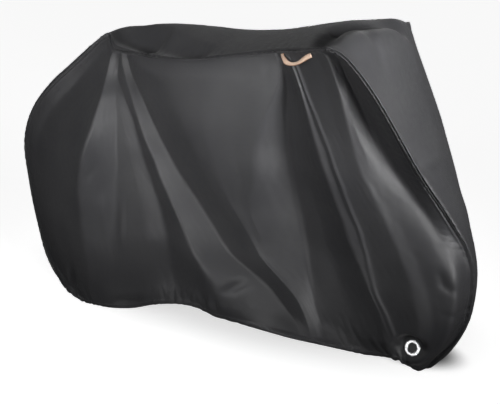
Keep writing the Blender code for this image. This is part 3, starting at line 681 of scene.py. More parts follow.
@dataclass(frozen=True)
class SeamRelief:
    """How the cloth stands along its sewn edges."""

    lips: tuple[Lip, ...] = (
        Lip(0.0016, 0.0, 0.0030),            # the folded edge at the seam
        Lip(0.0010, 0.0135, 0.0035),         # the inner edge of the seam allowance
        Lip(-0.0011, 0.0075, 0.0030),        # the sewn groove between the two
    )
    puckers: Gathers = Gathers(
        waves=Ripple(0.0016, 0.026, 0.16, 7), swell=Ripple(0.45, 0.30, 1.0, 5), usual=0.55,
        weakest=0.05, strongest=1.2, start=0.006, reach=0.045, fall=1.5)

    def height(self, distance: np.ndarray, along: np.ndarray, seed: int, puckered: float = 1.0,
               lipped: float = 1.0) -> np.ndarray:
        """Relief beside a seam.

        Args:
            distance: metres from the seam.
            along: run along it.
            seed: fixes the puckers.
            puckered: share of the usual puckers.
            lipped: share of the usual lips.

        Returns:
            The height of the cloth at each place.
        """
        lips = sum(lip.height * np.exp(-((distance - lip.away) / lip.width) ** 2) for lip in self.lips)
        return lipped * lips + puckered * self.puckers.height(distance, along, seed)


@dataclass(frozen=True)
class HemRelief:
    """The turned-up hem with its gathered elastic."""

    depth: float = 0.017           # height of the hem's channel
    roll: float = 0.0024           # how far the channel stands out
    gathers: Gathers = Gathers(
        waves=Ripple(0.0026, 0.030, 0.20, 7), swell=Ripple(0.5, 0.45, 1.0, 5), usual=0.6,
        weakest=0.1, strongest=1.3, start=0.010, reach=0.060, fall=1.3)

    def height(self, distance: np.ndarray, along: np.ndarray, seed: int) -> np.ndarray:
        """Relief above the hem's edge.

        Args:
            distance: metres above the edge.
            along: run along it.
            seed: fixes the gathers.

        Returns:
            The height of the cloth at each place.
        """
        inside = np.clip(distance / self.depth, 0.0, 1.0)
        channel = self.roll * np.sqrt(np.clip(1.0 - (2.0 * inside - 1.0) ** 2, 0.0, 1.0))
        return channel + self.gathers.height(distance, along, seed)


def crease_relief(creases: Iterable[Crease], places: np.ndarray) -> np.ndarray:
    """Relief of small folds.

    Args:
        creases: the folds.
        places: a grid of places, in the same coordinates as the folds' points.

    Returns:
        The height of the cloth at each place.
    """
    height = np.zeros(places.shape[:-1])
    for crease in creases:
        away, way = apart(places, crease.start, crease.end)
        taper = CREASE_END + (1.0 - CREASE_END) * np.sin(pi * way)
        height += crease.rise * taper * np.exp(-(away / crease.radius) ** 2)
    return height


def calm_at(distance: np.ndarray, strip: float) -> np.ndarray:
    """0 at an edge, and close to 1 from about a strip's width inward."""
    return 1.0 - np.exp(-(distance / strip) ** 2)


SEAMS = SeamRelief()
HEMS = HemRelief()


# ---- the side panels ----

@dataclass(frozen=True)
class EyeletPlace:
    """Where a lock eyelet sits and how its face looks."""

    x: float = 0.753
    height: float = 0.223
    half_width: float = 0.124
    lean: float = radians(25.0)
    turn: float = radians(8.0)
    flat_r: float = 0.027          # the cloth lies flat out to here
    fade_r: float = 0.062          # and has its own shape from here
    smooth_r: float = 0.026        # the same two for its small relief
    uneven_r: float = 0.045

    def normal(self, side: Side) -> np.ndarray:
        """Outward direction of the ring's face."""
        return np.array([-np.cos(self.lean) * np.sin(self.turn),
                         side.value * np.cos(self.lean) * np.cos(self.turn), np.sin(self.lean)])

    def roughness(self, points: np.ndarray) -> np.ndarray:
        """Share of the small relief that is left at table points."""
        away = np.hypot(points[..., 0] - self.x, points[..., 2] - self.height)
        return 1.0 - fade(away, self.smooth_r, self.uneven_r)

    def centre(self, side: Side) -> np.ndarray:
        """Middle of the ring on the cloth's outer face."""
        return np.array([self.x, side.value * self.half_width, self.height - HOLD_HEIGHT])

    def flattened(self, points: np.ndarray) -> np.ndarray:
        """Table points with the cloth round the ring brought into its plane.

        Args:
            points: x, half width and height of each point.

        Returns:
            The points, changed in half width alone.
        """
        normal = self.normal(Side.FAR)
        along = points[..., 0] - self.x
        up = points[..., 2] - self.height
        plane = self.half_width - (normal[0] * along + normal[2] * up) / normal[1]
        weight = fade(np.hypot(along, up), self.flat_r, self.fade_r)
        even = points.copy()
        even[..., 1] += weight * (plane - points[..., 1])
        return even


EYELET = EyeletPlace()


@dataclass(frozen=True)
class SidePanel:
    """One side of the cover: a patch between four borders with folds fanning down from the top seam."""

    side: Side
    front_seam: tuple[Edge, ...]
    folds: tuple[Fold, ...]
    creases: tuple[Crease, ...]
    rows: int
    seed: int
    front_puckered: float = 1.0    # shares of the usual puckers along the seams
    rear_puckered: float = 0.5
    top_puckered: float = 0.35
    front_lip: float = 2.4         # share of the usual lips along the front seam
    crest_rounding: float = 0.06
    easing: int = 3
    drape: Ripple = Ripple(0.0004, 0.090, 0.9, 9)          # small folds that run down the cloth
    crumple: Ripple = Ripple(0.00015, 0.030, 0.05, 11)     # its finest unevenness
    plain_strip: float = 0.03      # strip along the front and rear seams without either
    seam_columns: tuple[float, ...] = (0.015, 0.03, 0.05, 0.075, 0.11, 0.15, 0.2, 0.25)
    edge_rows: tuple[float, ...] = (0.0015, 0.003, 0.005, 0.0075, 0.010, 0.013)
    cut_r: float = 0.0172          # hole in the cloth behind the eyelet's flange
    cut_depth: float = 0.02        # cloth farther than this from the ring's plane stays whole

    def stretched(self, hem_shares: np.ndarray, down: np.ndarray) -> np.ndarray:
        """The panel without its folds.

        Args:
            hem_shares: shares along the hem.
            down: shares from the top seam down, paired with them.

        Returns:
            Table points.
        """
        spread = even_read(hem_shares, [row.hem_share for row in SPREAD], [row.seam_share for row in SPREAD])
        top = smooth_path(TOP_SEAM, spread[..., 0])
        hem = smooth_path(HEM, hem_shares)
        rear = smooth_path(REAR_SEAM, down)
        front = smooth_path(self.front_seam, down)
        along = hem_shares[..., None]
        drop = down[..., None]
        corners = ((1.0 - along) * ((1.0 - drop) * np.array(TOP_SEAM[0]) + drop * np.array(HEM[0]))
                   + along * ((1.0 - drop) * np.array(TOP_SEAM[-1]) + drop * np.array(HEM[-1])))
        return (1.0 - drop) * top + drop * hem + (1.0 - along) * rear + along * front - corners

    def fold_shares(self, down: np.ndarray) -> np.ndarray:
        """Hem share of every fold at each level."""
        rows = np.array([fold.shares for fold in self.folds]).T
        return even_read(down, np.linspace(0.0, 1.0, len(rows)), rows)

    def fold_reach(self, down: np.ndarray) -> np.ndarray:
        """How far the folds stand out from the stretched panel.

        Args:
            down: shares from the top seam down.

        Returns:
            One row for each share, one column for each fold.
        """
        levels = np.array(OUT_LEVELS)
        shares = self.fold_shares(levels)
        rows = np.zeros((len(OUT_LEVELS) + 2, len(self.folds)))
        for column, fold in enumerate(self.folds[1:-1], start=1):
            rows[1:-1, column] = np.array(fold.outs) - self.stretched(shares[:, column], levels)[:, 1]
        return even_read(down, (0.0, *OUT_LEVELS, 1.0), rows)

    def base(self, numbers: np.ndarray, down: np.ndarray) -> np.ndarray:
        """The outer surface with its main folds.

        Args:
            numbers: fold numbers of the columns, with shares between two folds.
            down: shares from the top seam down.

        Returns:
            Columns by rows of table points.
        """
        shares = self.fold_shares(down)
        reaches = self.fold_reach(down)
        lower = np.minimum(numbers.astype(int), len(self.folds) - 2)
        way = numbers - lower
        rounded = ((1.0 - self.crest_rounding) * way
                   + self.crest_rounding * way * way * (3.0 - 2.0 * way))
        hem_shares = shares[:, lower] * (1.0 - way) + shares[:, lower + 1] * way
        reach = reaches[:, lower] * (1.0 - rounded) + reaches[:, lower + 1] * rounded
        points = self.stretched(hem_shares.T, np.broadcast_to(down, hem_shares.T.shape))
        points[..., 1] += reach.T
        return points

    def numbers(self) -> np.ndarray:
        """Fold numbers of the mesh columns, closer together at the two seams.

        Returns:
            The numbers, rising from 0.
        """
        last = len(self.folds) - 1.0
        even = np.concatenate([[last]] + [np.linspace(k, k + 1.0, fold.cells, endpoint=False)
                                          for k, fold in enumerate(self.folds[:-1])])
        close = np.array(self.seam_columns)
        return np.unique(np.round(np.concatenate([even, close, last - close]), 6))

    def down(self) -> np.ndarray:
        """Shares down of the mesh rows, closer together at the top seam and the hem.

        Returns:
            The shares, from 0 to 1.
        """
        even = np.linspace(0.0, 1.0, self.rows + 1)
        close = np.array(self.edge_rows)
        return np.unique(np.round(np.concatenate([even, close, 1.0 - close]), 6))

    def surface(self) -> tuple[np.ndarray, np.ndarray]:
        """The finished outer surface.

        Returns:
            Its points and their cloth coordinates in metres.
        """
        table = EYELET.flattened(smoothed(self.base(self.numbers(), self.down()), self.easing))
        points = placed(table, self.side)
        from_rear, from_front = run_from(points, 0), run_from(points, 0, True)
        drop = run_from(points, 1)
        level = np.broadcast_to(from_rear.mean(axis=1, keepdims=True), from_rear.shape)
        height = self.drape.over(level, drop, self.seed)
        height += self.crumple.over(level, drop, self.seed + 3)
        height *= np.clip(np.gradient(from_rear, axis=0) / np.gradient(level, axis=0), 0.0, 1.0)
        height *= calm_at(np.minimum(from_rear, from_front), self.plain_strip)
        top_run, hem_run, rear_run, front_run = (
            np.broadcast_to(line, drop.shape)
            for line in (from_rear[:, :1], from_rear[:, -1:], drop[:1], drop[-1:]))
        height += SEAMS.height(drop, top_run, self.seed + 10, self.top_puckered)
        height += SEAMS.height(from_rear, rear_run, self.seed + 20, self.rear_puckered)
        height += SEAMS.height(from_front, front_run, self.seed + 30, self.front_puckered, self.front_lip)
        height += HEMS.height(run_from(points, 1, True), hem_run, self.seed + 40)
        height += crease_relief(self.creases, table[..., [0, 2]])
        height *= EYELET.roughness(table)
        points = points + grid_normals(points, self.side.outward) * height[..., None]
        return points, np.stack([level, drop], axis=-1)

    def build(self, finish: bpy.types.Material) -> bpy.types.Object:
        """The panel with its hem and the hole for its eyelet.

        Args:
            finish: the cloth's material.

        Returns:
            The piece, a closed sheet.
        """
        points, uv = self.surface()
        centre = EYELET.centre(self.side)
        normal = EYELET.normal(self.side)
        away = points - centre
        off = away @ normal
        flat = away - off[..., None] * normal
        inside = (np.linalg.norm(flat, axis=-1) < self.cut_r) & (np.abs(off) < self.cut_depth)
        left_out = inside[:-1, :-1] & inside[1:, :-1] & inside[:-1, 1:] & inside[1:, 1:]
        rim = touched(left_out) & touched(~left_out)
        points[rim] = centre + unit(flat[rim]) * self.cut_r + off[rim, None] * normal
        name = f"cloth_side_{self.side.label}"
        return sheet_of_quads(name, points, uv, self.side.outward, finish, left_out)

    def line(self, border: Border, inset: float) -> Line:
        """A line on the panel beside one of its borders.

        Args:
            border: the border.
            inset: metres in from it.

        Returns:
            Points and outward normals along the line.
        """
        points, _ = self.surface()
        axis = 1 if border in (Border.TOP, Border.HEM) else 0
        run = run_from(points, axis, border in (Border.HEM, Border.FRONT))
        return line_at(points, grid_normals(points, self.side.outward), run, inset, axis)


def touched(cells: np.ndarray) -> np.ndarray:
    """Which points of a grid are corners of chosen cells.

    Args:
        cells: True for each chosen cell.

    Returns:
        True for each such point.
    """
    corners = np.zeros((cells.shape[0] + 1, cells.shape[1] + 1), bool)
    for i in (0, 1):
        for j in (0, 1):
            corners[i:i + cells.shape[0], j:j + cells.shape[1]] |= cells
    return corners


def line_at(points: np.ndarray, normals: np.ndarray, run: np.ndarray, inset: float, axis: int) -> Line:
    """The line where the run along one axis of a grid first reaches an inset.

    Args:
        points: the grid.
        normals: its normals.
        run: metres from the border to each point.
        inset: metres in from the border.
        axis: the run's axis.

    Returns:
        Points and normals along the line.
    """
    if axis == 0:
        points, normals, run = np.swapaxes(points, 0, 1), np.swapaxes(normals, 0, 1), run.T
    line = np.empty((len(points), 6))
    for place, (row, way) in enumerate(zip(np.concatenate([points, normals], axis=-1), run)):
        order = np.argsort(way)
        for part in range(6):
            line[place, part] = np.interp(inset, way[order], row[order, part])
    return line[:, :3], unit(line[:, 3:])


# ---- the centre panel ----

@dataclass(frozen=True)
class CentrePanel:
    """The long panel: up from the rear hem, over the top and down to the front hem."""

    cells: int = 44
    edge_crowding: float = 1.35    # above 1 the mesh columns crowd towards the seams
    rear_rows: int = 110
    top_rows: int = 130
    front_rows: int = 120
    seed: int = 70
    drape: Ripple = Ripple(0.0005, 0.14, 0.25, 9)
    crumple: Ripple = Ripple(0.000125, 0.04, 0.06, 11)
    plain_strip: float = 0.03
    easing: int = 5
    easing_edge_power: int = 8     # the higher, the closer to the seams the rows are eased
    near_puckered: float = 0.9     # shares of the usual puckers and lips along the two seams
    near_lip: float = 3.0
    far_puckered: float = 0.2
    dent_edge_power: int = 6       # the higher, the closer to the seams a dent reaches
    inside: tuple[float, float, float] = (0.1, 0.0, -0.5)

    def outward(self, points: np.ndarray) -> np.ndarray:
        """Direction of each point from the middle of the cover."""
        return unit(points - np.array(self.inside))

    def stretch(self, kind: Stretch, crown: tuple[Crown, ...], near: np.ndarray, far: np.ndarray,
                shares: np.ndarray) -> np.ndarray:
        """One stretch of the panel.

        Args:
            kind: which stretch.
            crown: its crown line.
            near: points along the near seam.
            far: points along the far seam.
            shares: the rows' shares of the stretch.

        Returns:
            Rows of points from the near seam to the far seam.
        """
        middle = placed(smooth_path([(row.x, 0.0, row.height) for row in crown], shares), Side.FAR)
        arches = ARCHES[kind]
        power = even_read(shares, [row.share for row in arches], [row.power for row in arches])
        half = 1.0 - (1.0 - np.linspace(0.0, 1.0, self.cells // 2 + 1)) ** self.edge_crowding
        across = np.concatenate([-half[::-1], half[1:]])
        arch = 1.0 - np.abs(across)[None, :, None] ** power[:, :, None]
        chord = near[:, None] + (far - near)[:, None] * (across[None, :, None] + 1.0) / 2.0
        rise = middle - (near + far) / 2.0
        points = chord + arch * rise[:, None]
        points[..., 2] += self.dent_rise(points, across)
        return points

    def dent_rise(self, points: np.ndarray, across: np.ndarray) -> np.ndarray:
        """How far the folds lying across the top lift the panel.

        Args:
            points: rows of points.
            across: the columns' places from -1 at the near seam to 1 at the far one.

        Returns:
            The lift of each point.
        """
        lowest = np.zeros(points.shape[:2])
        highest = np.zeros(points.shape[:2])
        for dent in DENTS:
            away, _ = apart(points[..., :2], (dent.x_from, dent.y_from), (dent.x_to, dent.y_to))
            lift = dent.rise * fade(away, 0.0, dent.radius)
            lowest = np.minimum(lowest, lift)
            highest = np.maximum(highest, lift)
        return (lowest + highest) * (1.0 - np.abs(across) ** self.dent_edge_power)

    def base(self) -> np.ndarray:
        """The panel with its main folds.

        Returns:
            Rows of points from the rear hem to the front hem.
        """
        rows = []
        for kind, crown, near_seam, far_seam, count in (
                (Stretch.REAR, REAR_CROWN, REAR_SEAM, REAR_SEAM, self.rear_rows),
                (Stretch.TOP, TOP_CROWN, TOP_SEAM, TOP_SEAM, self.top_rows),
                (Stretch.FRONT, FRONT_CROWN, FRONT_SEAM_NEAR, FRONT_SEAM_FAR, self.front_rows)):
            shares = np.linspace(0.0, 1.0, count + 1)
            down = 1.0 - shares if kind is Stretch.REAR else shares
            near = placed(smooth_path(near_seam, down), Side.NEAR)
            far = placed(smooth_path(far_seam, down), Side.FAR)
            part = self.stretch(kind, crown, near, far, shares)
            rows.append(part if kind is Stretch.REAR else part[1:])
        points = np.concatenate(rows)
        inner = 1.0 - np.abs(np.linspace(-1.0, 1.0, points.shape[1])) ** self.easing_edge_power
        return points + (smoothed(points, self.easing) - points) * inner[None, :, None]

    def surface(self) -> tuple[np.ndarray, np.ndarray]:
        """The finished outer surface.

        Returns:
            Its points and their cloth coordinates in metres.
        """
        points = self.base()
        along = run_from(points, 0)
        level = np.broadcast_to(along.mean(axis=1, keepdims=True), along.shape)
        near_run = run_from(points, 1)
        far_run = run_from(points, 1, True)
        height = self.drape.over(level, near_run, self.seed)
        height += self.crumple.over(level, near_run, self.seed + 1)
        height *= calm_at(np.minimum(near_run, far_run), self.plain_strip)
        height += SEAMS.height(near_run, level, self.seed + 10, self.near_puckered, self.near_lip)
        height += SEAMS.height(far_run, level, self.seed + 20, self.far_puckered)
        height += HEMS.height(along, near_run, self.seed + 30)
        height += HEMS.height(run_from(points, 0, True), near_run, self.seed + 40)
        height += crease_relief(CREASES_CENTRE, points + np.array([0.0, 0.0, HOLD_HEIGHT]))
        points = points + grid_normals(points, self.outward(points)) * height[..., None]
        return points, np.stack([near_run, level], axis=-1)

    def build(self, finish: bpy.types.Material) -> bpy.types.Object:
        """The panel as a closed sheet of the given finish."""
        points, uv = self.surface()
        return sheet_of_quads("cloth_centre", points, uv, (0.0, 0.0, 1.0), finish)

    def line(self, side: Side, inset: float) -> Line:
        """A line on the panel beside one of its seams.

        Args:
            side: which seam.
            inset: metres in from it.

        Returns:
            Points and outward normals along the line.
        """
        points, _ = self.surface()
        normals = grid_normals(points, self.outward(points))
        return line_at(points, normals, run_from(points, 1, side is Side.FAR), inset, 1)


# ---- node trees ----

class Wiring:
    """Adds nodes to a node tree and joins them."""

    def __init__(self, tree: bpy.types.NodeTree) -> None:
        """Work on the given tree."""
        self.tree = tree

    def feed(self, target: bpy.types.NodeSocket, value: object) -> None:
        """Give an input another node's output, or a number, a vector or a colour.

        Args:
            target: the input.
            value: what it gets; a colour may leave its alpha out.
        """
        if isinstance(value, bpy.types.NodeSocket):
            self.tree.links.new(value, target)
        elif target.type == "RGBA":
            target.default_value = (*value[:3], 1.0)
        else:
            target.default_value = value

    def node(self, kind: str, inputs: Optional[dict] = None, **settings: object) -> bpy.types.Node:
        """A new node.

        Args:
            kind: Blender's name for its type.
            inputs: what its inputs get, by their names or numbers.
            settings: its own properties.

        Returns:
            The node.
        """
        made = self.tree.nodes.new(kind)
        for label, value in settings.items():
            setattr(made, label, value)
        for label, value in (inputs or {}).items():
            self.feed(made.inputs[label], value)
        return made

    def ramp(self, source: bpy.types.NodeSocket, low: float, high: float, at_low: float = 0.0,
             at_high: float = 1.0, kind: str = "LINEAR") -> bpy.types.NodeSocket:
        """Values from at_low to at_high as the source goes from low to high.

        Args:
            source: the value that is read.
            low: where the ramp starts.
            high: where it ends.
            at_low: the value up to its start.
            at_high: the value from its end on.
            kind: how it goes from one to the other.

        Returns:
            The new value.
        """
        made = self.node("ShaderNodeMapRange", {
            "Value": source, "From Min": low, "From Max": high, "To Min": at_low, "To Max": at_high},
            interpolation_type=kind)
        return made.outputs["Result"]

    def mix(self, factor: bpy.types.NodeSocket, first: object, second: object,
            blend: str = "MIX") -> bpy.types.NodeSocket:
        """A colour between two colours, or the first one with the second blended over it.

        Args:
            factor: share of the second.
            first: a colour or a socket.
            second: a colour or a socket.
            blend: how the second is blended in.

        Returns:
            The colour.
        """
        made = self.node("ShaderNodeMix", data_type="RGBA", blend_type=blend)
        for number, value in ((0, factor), (6, first), (7, second)):
            self.feed(made.inputs[number], value)
        return made.outputs[2]


Sockets = dict[str, tuple[str, Optional[float]]]


def node_group(name: str, kind: str, inputs: Sockets,
               outputs: Sockets) -> tuple[Wiring, bpy.types.NodeOutputs, bpy.types.NodeInputs]:
    """An empty node group with its sockets.

    Args:
        name: the group's name.
        kind: the type of its tree.
        inputs: type and usual value of each input.
        outputs: type of each output.

    Returns:
        The wiring of its tree, the sockets that it is given and those that it has to fill.
    """
    tree = bpy.data.node_groups.new(name, kind)
    for way, sockets in (("INPUT", inputs), ("OUTPUT", outputs)):
        for label, (socket_kind, value) in sockets.items():
            socket = tree.interface.new_socket(label, in_out=way, socket_type=f"NodeSocket{socket_kind}")
            if value is not None:
                socket.default_value = value
    wires = Wiring(tree)
    return wires, wires.node("NodeGroupInput").outputs, wires.node("NodeGroupOutput").inputs


# ---- stitching by geometry nodes ----

@dataclass(frozen=True)
class StitchRow:
    """A row of lock stitches laid along a line on the cloth."""

    pitch: float = 0.0052
    length: float = 0.0036
    width: float = 0.0009
    lift: float = 0.0002
    shortest: float = 0.86         # shares of the usual size
    longest: float = 1.08
    seed: int = 5

    def nodes(self) -> bpy.types.NodeTree:
        """Resample the line, put one stitch at each point, realise the stitches and colour them.

        Returns:
            The node group.
        """
        wires, given, out = node_group("stitch_row", "GeometryNodeTree", {
            "Line": ("Geometry", None), "Pitch": ("Float", self.pitch),
            "Stitch Length": ("Float", self.length), "Stitch Width": ("Float", self.width),
            "Seed": ("Int", self.seed), "Thread": ("Material", None)}, {"Stitches": ("Geometry", None)})
        even = wires.node("GeometryNodeResampleCurve", {"Curve": given["Line"], "Length": given["Pitch"]},
                          mode="LENGTH")
        stitch = wires.node("GeometryNodeMeshIcoSphere", {"Radius": 0.5, "Subdivisions": 2})
        shape = wires.node("ShaderNodeCombineXYZ", {
            "X": given["Stitch Length"], "Y": given["Stitch Width"], "Z": given["Stitch Width"]})
        uneven = wires.node("FunctionNodeRandomValue", {
            2: self.shortest, 3: self.longest, "Seed": given["Seed"]}, data_type="FLOAT")
        size = wires.node("ShaderNodeVectorMath", {0: shape.outputs[0], "Scale": uneven.outputs[1]},
                          operation="SCALE")
        tangent = wires.node("GeometryNodeInputTangent")
        turn = wires.node("FunctionNodeAlignRotationToVector", {"Vector": tangent.outputs[0]}, axis="X")
        laid = wires.node("GeometryNodeInstanceOnPoints", {
            "Points": even.outputs["Curve"], "Instance": stitch.outputs["Mesh"],
            "Rotation": turn.outputs[0], "Scale": size.outputs[0]})
        real = wires.node("GeometryNodeRealizeInstances", {"Geometry": laid.outputs["Instances"]})
        smooth = wires.node("GeometryNodeSetShadeSmooth", {"Geometry": real.outputs["Geometry"]})
        coloured = wires.node("GeometryNodeSetMaterial", {
            "Geometry": smooth.outputs["Geometry"], "Material": given["Thread"]})
        wires.feed(out["Stitches"], coloured.outputs["Geometry"])
        return wires.tree

    def build(self, name: str, lines: Sequence[Line], finish: bpy.types.Material) -> bpy.types.Object:
        """Stitches along several lines as one mesh.

        Args:
            name: the piece's name.
            lines: points and outward normals of each line.
            finish: the thread's material.

        Returns:
            The piece.
        """
        curve = bpy.data.curves.new(name, "CURVE")
        curve.dimensions = "3D"
        for points, normals in lines:
            laid = points + normals * self.lift
            spline = curve.splines.new("POLY")
            spline.points.add(len(laid) - 1)
            spline.points.foreach_set("co", np.c_[laid, np.ones(len(laid))].astype(np.float32).ravel())
        route = put_in_scene(name, curve)
        rows = route.modifiers.new("stitches", "NODES")
        rows.node_group = self.nodes()
        values = {"Pitch": self.pitch, "Stitch Length": self.length, "Stitch Width": self.width,
                  "Seed": self.seed, "Thread": finish}
        for item in rows.node_group.interface.items_tree:
            if item.name in values and item.in_out == "INPUT":
                rows[item.identifier] = values[item.name]
        bpy.context.view_layer.update()
        mesh = plain_mesh(route)
        mesh.name = name
        bpy.data.objects.remove(route)
        return put_in_scene(name, mesh)


# ---- eyelets and loop ----

@dataclass(frozen=True)
class LockEyelet:
    """A pressed metal ring: rolled flange in front, flat washer behind, a tube between."""

    side: Side
    outer_r: float = 0.024
    hole_r: float = 0.0135
    barrel: float = 0.0010
    flange: float = 0.0016
    flange_fullness: float = 0.62  # below 1 the flange is fuller than half a round
    back_r: float = 0.021
    back: float = 0.0010
    gap: float = 0.0004
    segments: int = 96
    turns: int = 20
    sharp_deg: float = 50.0

    def profile(self) -> list[tuple[float, float]]:
        """The ring's section.

        Returns:
            A closed line of radii and heights above the cloth's outer face.
        """
        middle = (self.hole_r + self.outer_r) / 2.0
        half = (self.outer_r - self.hole_r) / 2.0
        front = [(middle + half * np.cos(a), self.gap + self.flange * np.sin(a) ** self.flange_fullness)
                 for a in np.linspace(0.0, pi, self.turns + 1)]
        tail = -CLOTH - self.gap
        inner = self.hole_r + self.barrel
        bevel = self.back * 0.5
        back = [(self.hole_r, tail - bevel), (self.hole_r + bevel, tail - self.back),
                (self.back_r - bevel, tail - self.back), (self.back_r, tail - bevel),
                (self.back_r, tail), (inner, tail), (inner, self.gap)]
        return front + back

    def build(self, finish: bpy.types.Material) -> bpy.types.Object:
        """The ring as one turned mesh.

        Args:
            finish: the metal's material.

        Returns:
            The piece.
        """
        section = self.profile()
        facing = Vector(EYELET.normal(self.side)).to_track_quat("Z", "Y").to_matrix().to_4x4()
        place = Matrix.Translation(Vector(EYELET.centre(self.side))) @ facing
        made = bmesh.new()
        rings = []
        for step in range(self.segments):
            angle = 2.0 * pi * step / self.segments
            rings.append([made.verts.new(place @ Vector((r * np.cos(angle), r * np.sin(angle), z)))
                          for r, z in section])
        for ring, following in zip(rings, rings[1:] + rings[:1]):
            for here in range(len(section)):
                beside = (here + 1) % len(section)
                made.faces.new((ring[here], ring[beside], following[beside], following[here]))
        return finished_mesh(f"eyelet_{self.side.label}", made, self.sharp_deg, finish)


@dataclass(frozen=True)
class HangingLoop:
    """The webbing loop: a flat strap with its two ends sewn to the near panel."""

    panel: SidePanel
    width: float = 0.0125
    thick: float = 0.0021
    steps: int = 110
    sides: int = 20
    side_roundness: float = 0.55   # below 1 the section is fuller than a round
    face_roundness: float = 0.70
    first_fold: float = 8.0        # the part of the panel that the strap hangs over
    lowest: float = 0.12
    cloth_columns: int = 240
    cloth_rows: int = 60
    free: float = 0.010            # farther out than this the strap takes no slope from the cloth
    smoothing: int = 40
    sharp_deg: float = 60.0
    tack_steps: int = 12
    tack_inset: float = 0.0035

    def cloth(self) -> Line:
        """The cloth behind the strap.

        Returns:
            Points and normals of the panel there.
        """
        across = np.linspace(self.first_fold, len(self.panel.folds) - 1.0, self.cloth_columns)
        down = np.linspace(0.0, self.lowest, self.cloth_rows)
        seen = placed(self.panel.base(across, down), self.panel.side)
        return seen.reshape(-1, 3), grid_normals(seen, self.panel.side.outward).reshape(-1, 3)

    def route(self) -> tuple[np.ndarray, np.ndarray, np.ndarray]:
        """The strap's way over the cloth.

        Returns:
            Its middle line, and the directions across it and out of its face.
        """
        shares = np.linspace(0.0, 1.0, self.steps + 1)
        along = smooth_path([point[:3] for point in LOOP_ROUTE], shares)
        tilts = [point.tilt_deg for point in LOOP_ROUTE]
        tilt = np.radians(even_read(shares, np.linspace(0.0, 1.0, len(tilts)), tilts))
        seen, normals = self.cloth()
        outward = np.empty_like(along)
        route = np.empty_like(along)
        for index, (x, height, stand_off) in enumerate(along):
            closest = np.argmin(np.hypot(seen[:, 0] - x, seen[:, 2] + HOLD_HEIGHT - height))
            lying = fade(stand_off, 0.0, self.free)
            outward[index] = unit(lying * normals[closest] + (1.0 - lying) * self.panel.side.outward)
            route[index] = seen[closest] + outward[index] * (stand_off + self.thick / 2.0)
        for _ in range(self.smoothing):
            route[1:-1] = (route[:-2] + 2.0 * route[1:-1] + route[2:]) / 4.0
            outward[1:-1] = unit(outward[:-2] + 2.0 * outward[1:-1] + outward[2:])
        forward = unit(np.gradient(route, axis=0))
        flat = unit(np.cross(forward, outward))
        outward = unit(np.cross(flat, forward))
        return (route, flat * np.cos(tilt) + outward * np.sin(tilt),
                outward * np.cos(tilt) - flat * np.sin(tilt))

    def build(self, finish: bpy.types.Material) -> bpy.types.Object:
        """The strap as a swept mesh with rounded edges and cloth coordinates.

        Args:
            finish: the webbing's material.

        Returns:
            The piece.
        """
        route, flat, outward = self.route()
        angles = np.linspace(0.0, 2.0 * pi, self.sides, endpoint=False)
        wide, high = (np.sign(part) * np.abs(part) ** roundness * size / 2.0
                      for part, roundness, size in ((np.cos(angles), self.side_roundness, self.width),
                                                    (np.sin(angles), self.face_roundness, self.thick)))
        points = (route[:, None] + flat[:, None] * wide[None, :, None]
                  + outward[:, None] * high[None, :, None])
        made = bmesh.new()
        layer = made.loops.layers.uv.new("cloth")
        run = np.concatenate([[0.0], np.cumsum(np.linalg.norm(np.diff(route, axis=0), axis=1))])
        rings = [[made.verts.new(point) for point in ring] for ring in points]
        for step in range(len(rings) - 1):
            for here in range(self.sides):
                beside = (here + 1) % self.sides
                corners = ((step, here), (step, beside), (step + 1, beside), (step + 1, here))
                face = made.faces.new([rings[ring][corner] for ring, corner in corners])
                for loop, (ring, corner) in zip(face.loops, corners):
                    loop[layer].uv = (wide[corner], run[ring])
        made.faces.new(rings[0])
        made.faces.new(rings[-1])
        return finished_mesh("webbing_loop", made, self.sharp_deg, finish)

    def tacks(self) -> list[Line]:
        """The bar tacks that sew the strap's two ends down.

        Returns:
            Three lines for each end.
        """
        route, flat, outward = self.route()
        lines = []
        for end in (slice(0, self.tack_steps), slice(-self.tack_steps, None)):
            middle = route[end] + outward[end] * self.thick / 2.0
            for offset in (-self.tack_inset, 0.0, self.tack_inset):
                lines.append((middle + flat[end] * offset, outward[end]))
        return lines


# ---- finishes ----

Colour = tuple[float, float, float]
NOISE = (0.3, 0.7)               # most of a noise mask lies between these


def weave_group() -> bpy.types.NodeTree:
    """Plain weave over cloth coordinates.

    Returns:
        A group that puts out the height of the two threads crossing.
    """
    wires, given, out = node_group("plain_weave", "ShaderNodeTree", {
        "Cloth": ("Vector", None), "Threads": ("Float", 900.0)}, {"Height": ("Float", None)})
    scaled = wires.node("ShaderNodeVectorMath", {0: given["Cloth"], "Scale": given["Threads"]},
                        operation="SCALE")
    split = wires.node("ShaderNodeSeparateXYZ", {0: scaled.outputs[0]})
    waves = []
    for axis in ("X", "Y"):
        turn = wires.node("ShaderNodeMath", {0: split.outputs[axis], 1: pi}, operation="MULTIPLY")
        waves.append(wires.node("ShaderNodeMath", {0: turn.outputs[0]}, operation="SINE").outputs[0])
    crossing = wires.node("ShaderNodeMath", {0: waves[0], 1: waves[1]}, operation="MULTIPLY")
    wires.feed(out["Height"], crossing.outputs[0])
    return wires.tree


def wear_group() -> bpy.types.NodeTree:
    """Uneven surface.

    Returns:
        A group that puts out two masks, broad patches and fine crackle.
    """
    wires, given, out = node_group("coating_wear", "ShaderNodeTree", {
        "Place": ("Vector", None), "Patch Scale": ("Float", 7.0), "Crackle Scale": ("Float", 55.0)},
        {"Patches": ("Float", None), "Crackle": ("Float", None)})
    patches = wires.node("ShaderNodeTexNoise", {
        "Vector": given["Place"], "Scale": given["Patch Scale"], "Detail": 3.0})
    crackle = wires.node("ShaderNodeTexNoise", {
        "Vector": given["Place"], "Scale": given["Crackle Scale"], "Detail": 6.0, "Roughness": 0.62})
    wires.feed(out["Patches"], patches.outputs["Fac"])
    wires.feed(out["Crackle"], crackle.outputs["Fac"])
    return wires.tree


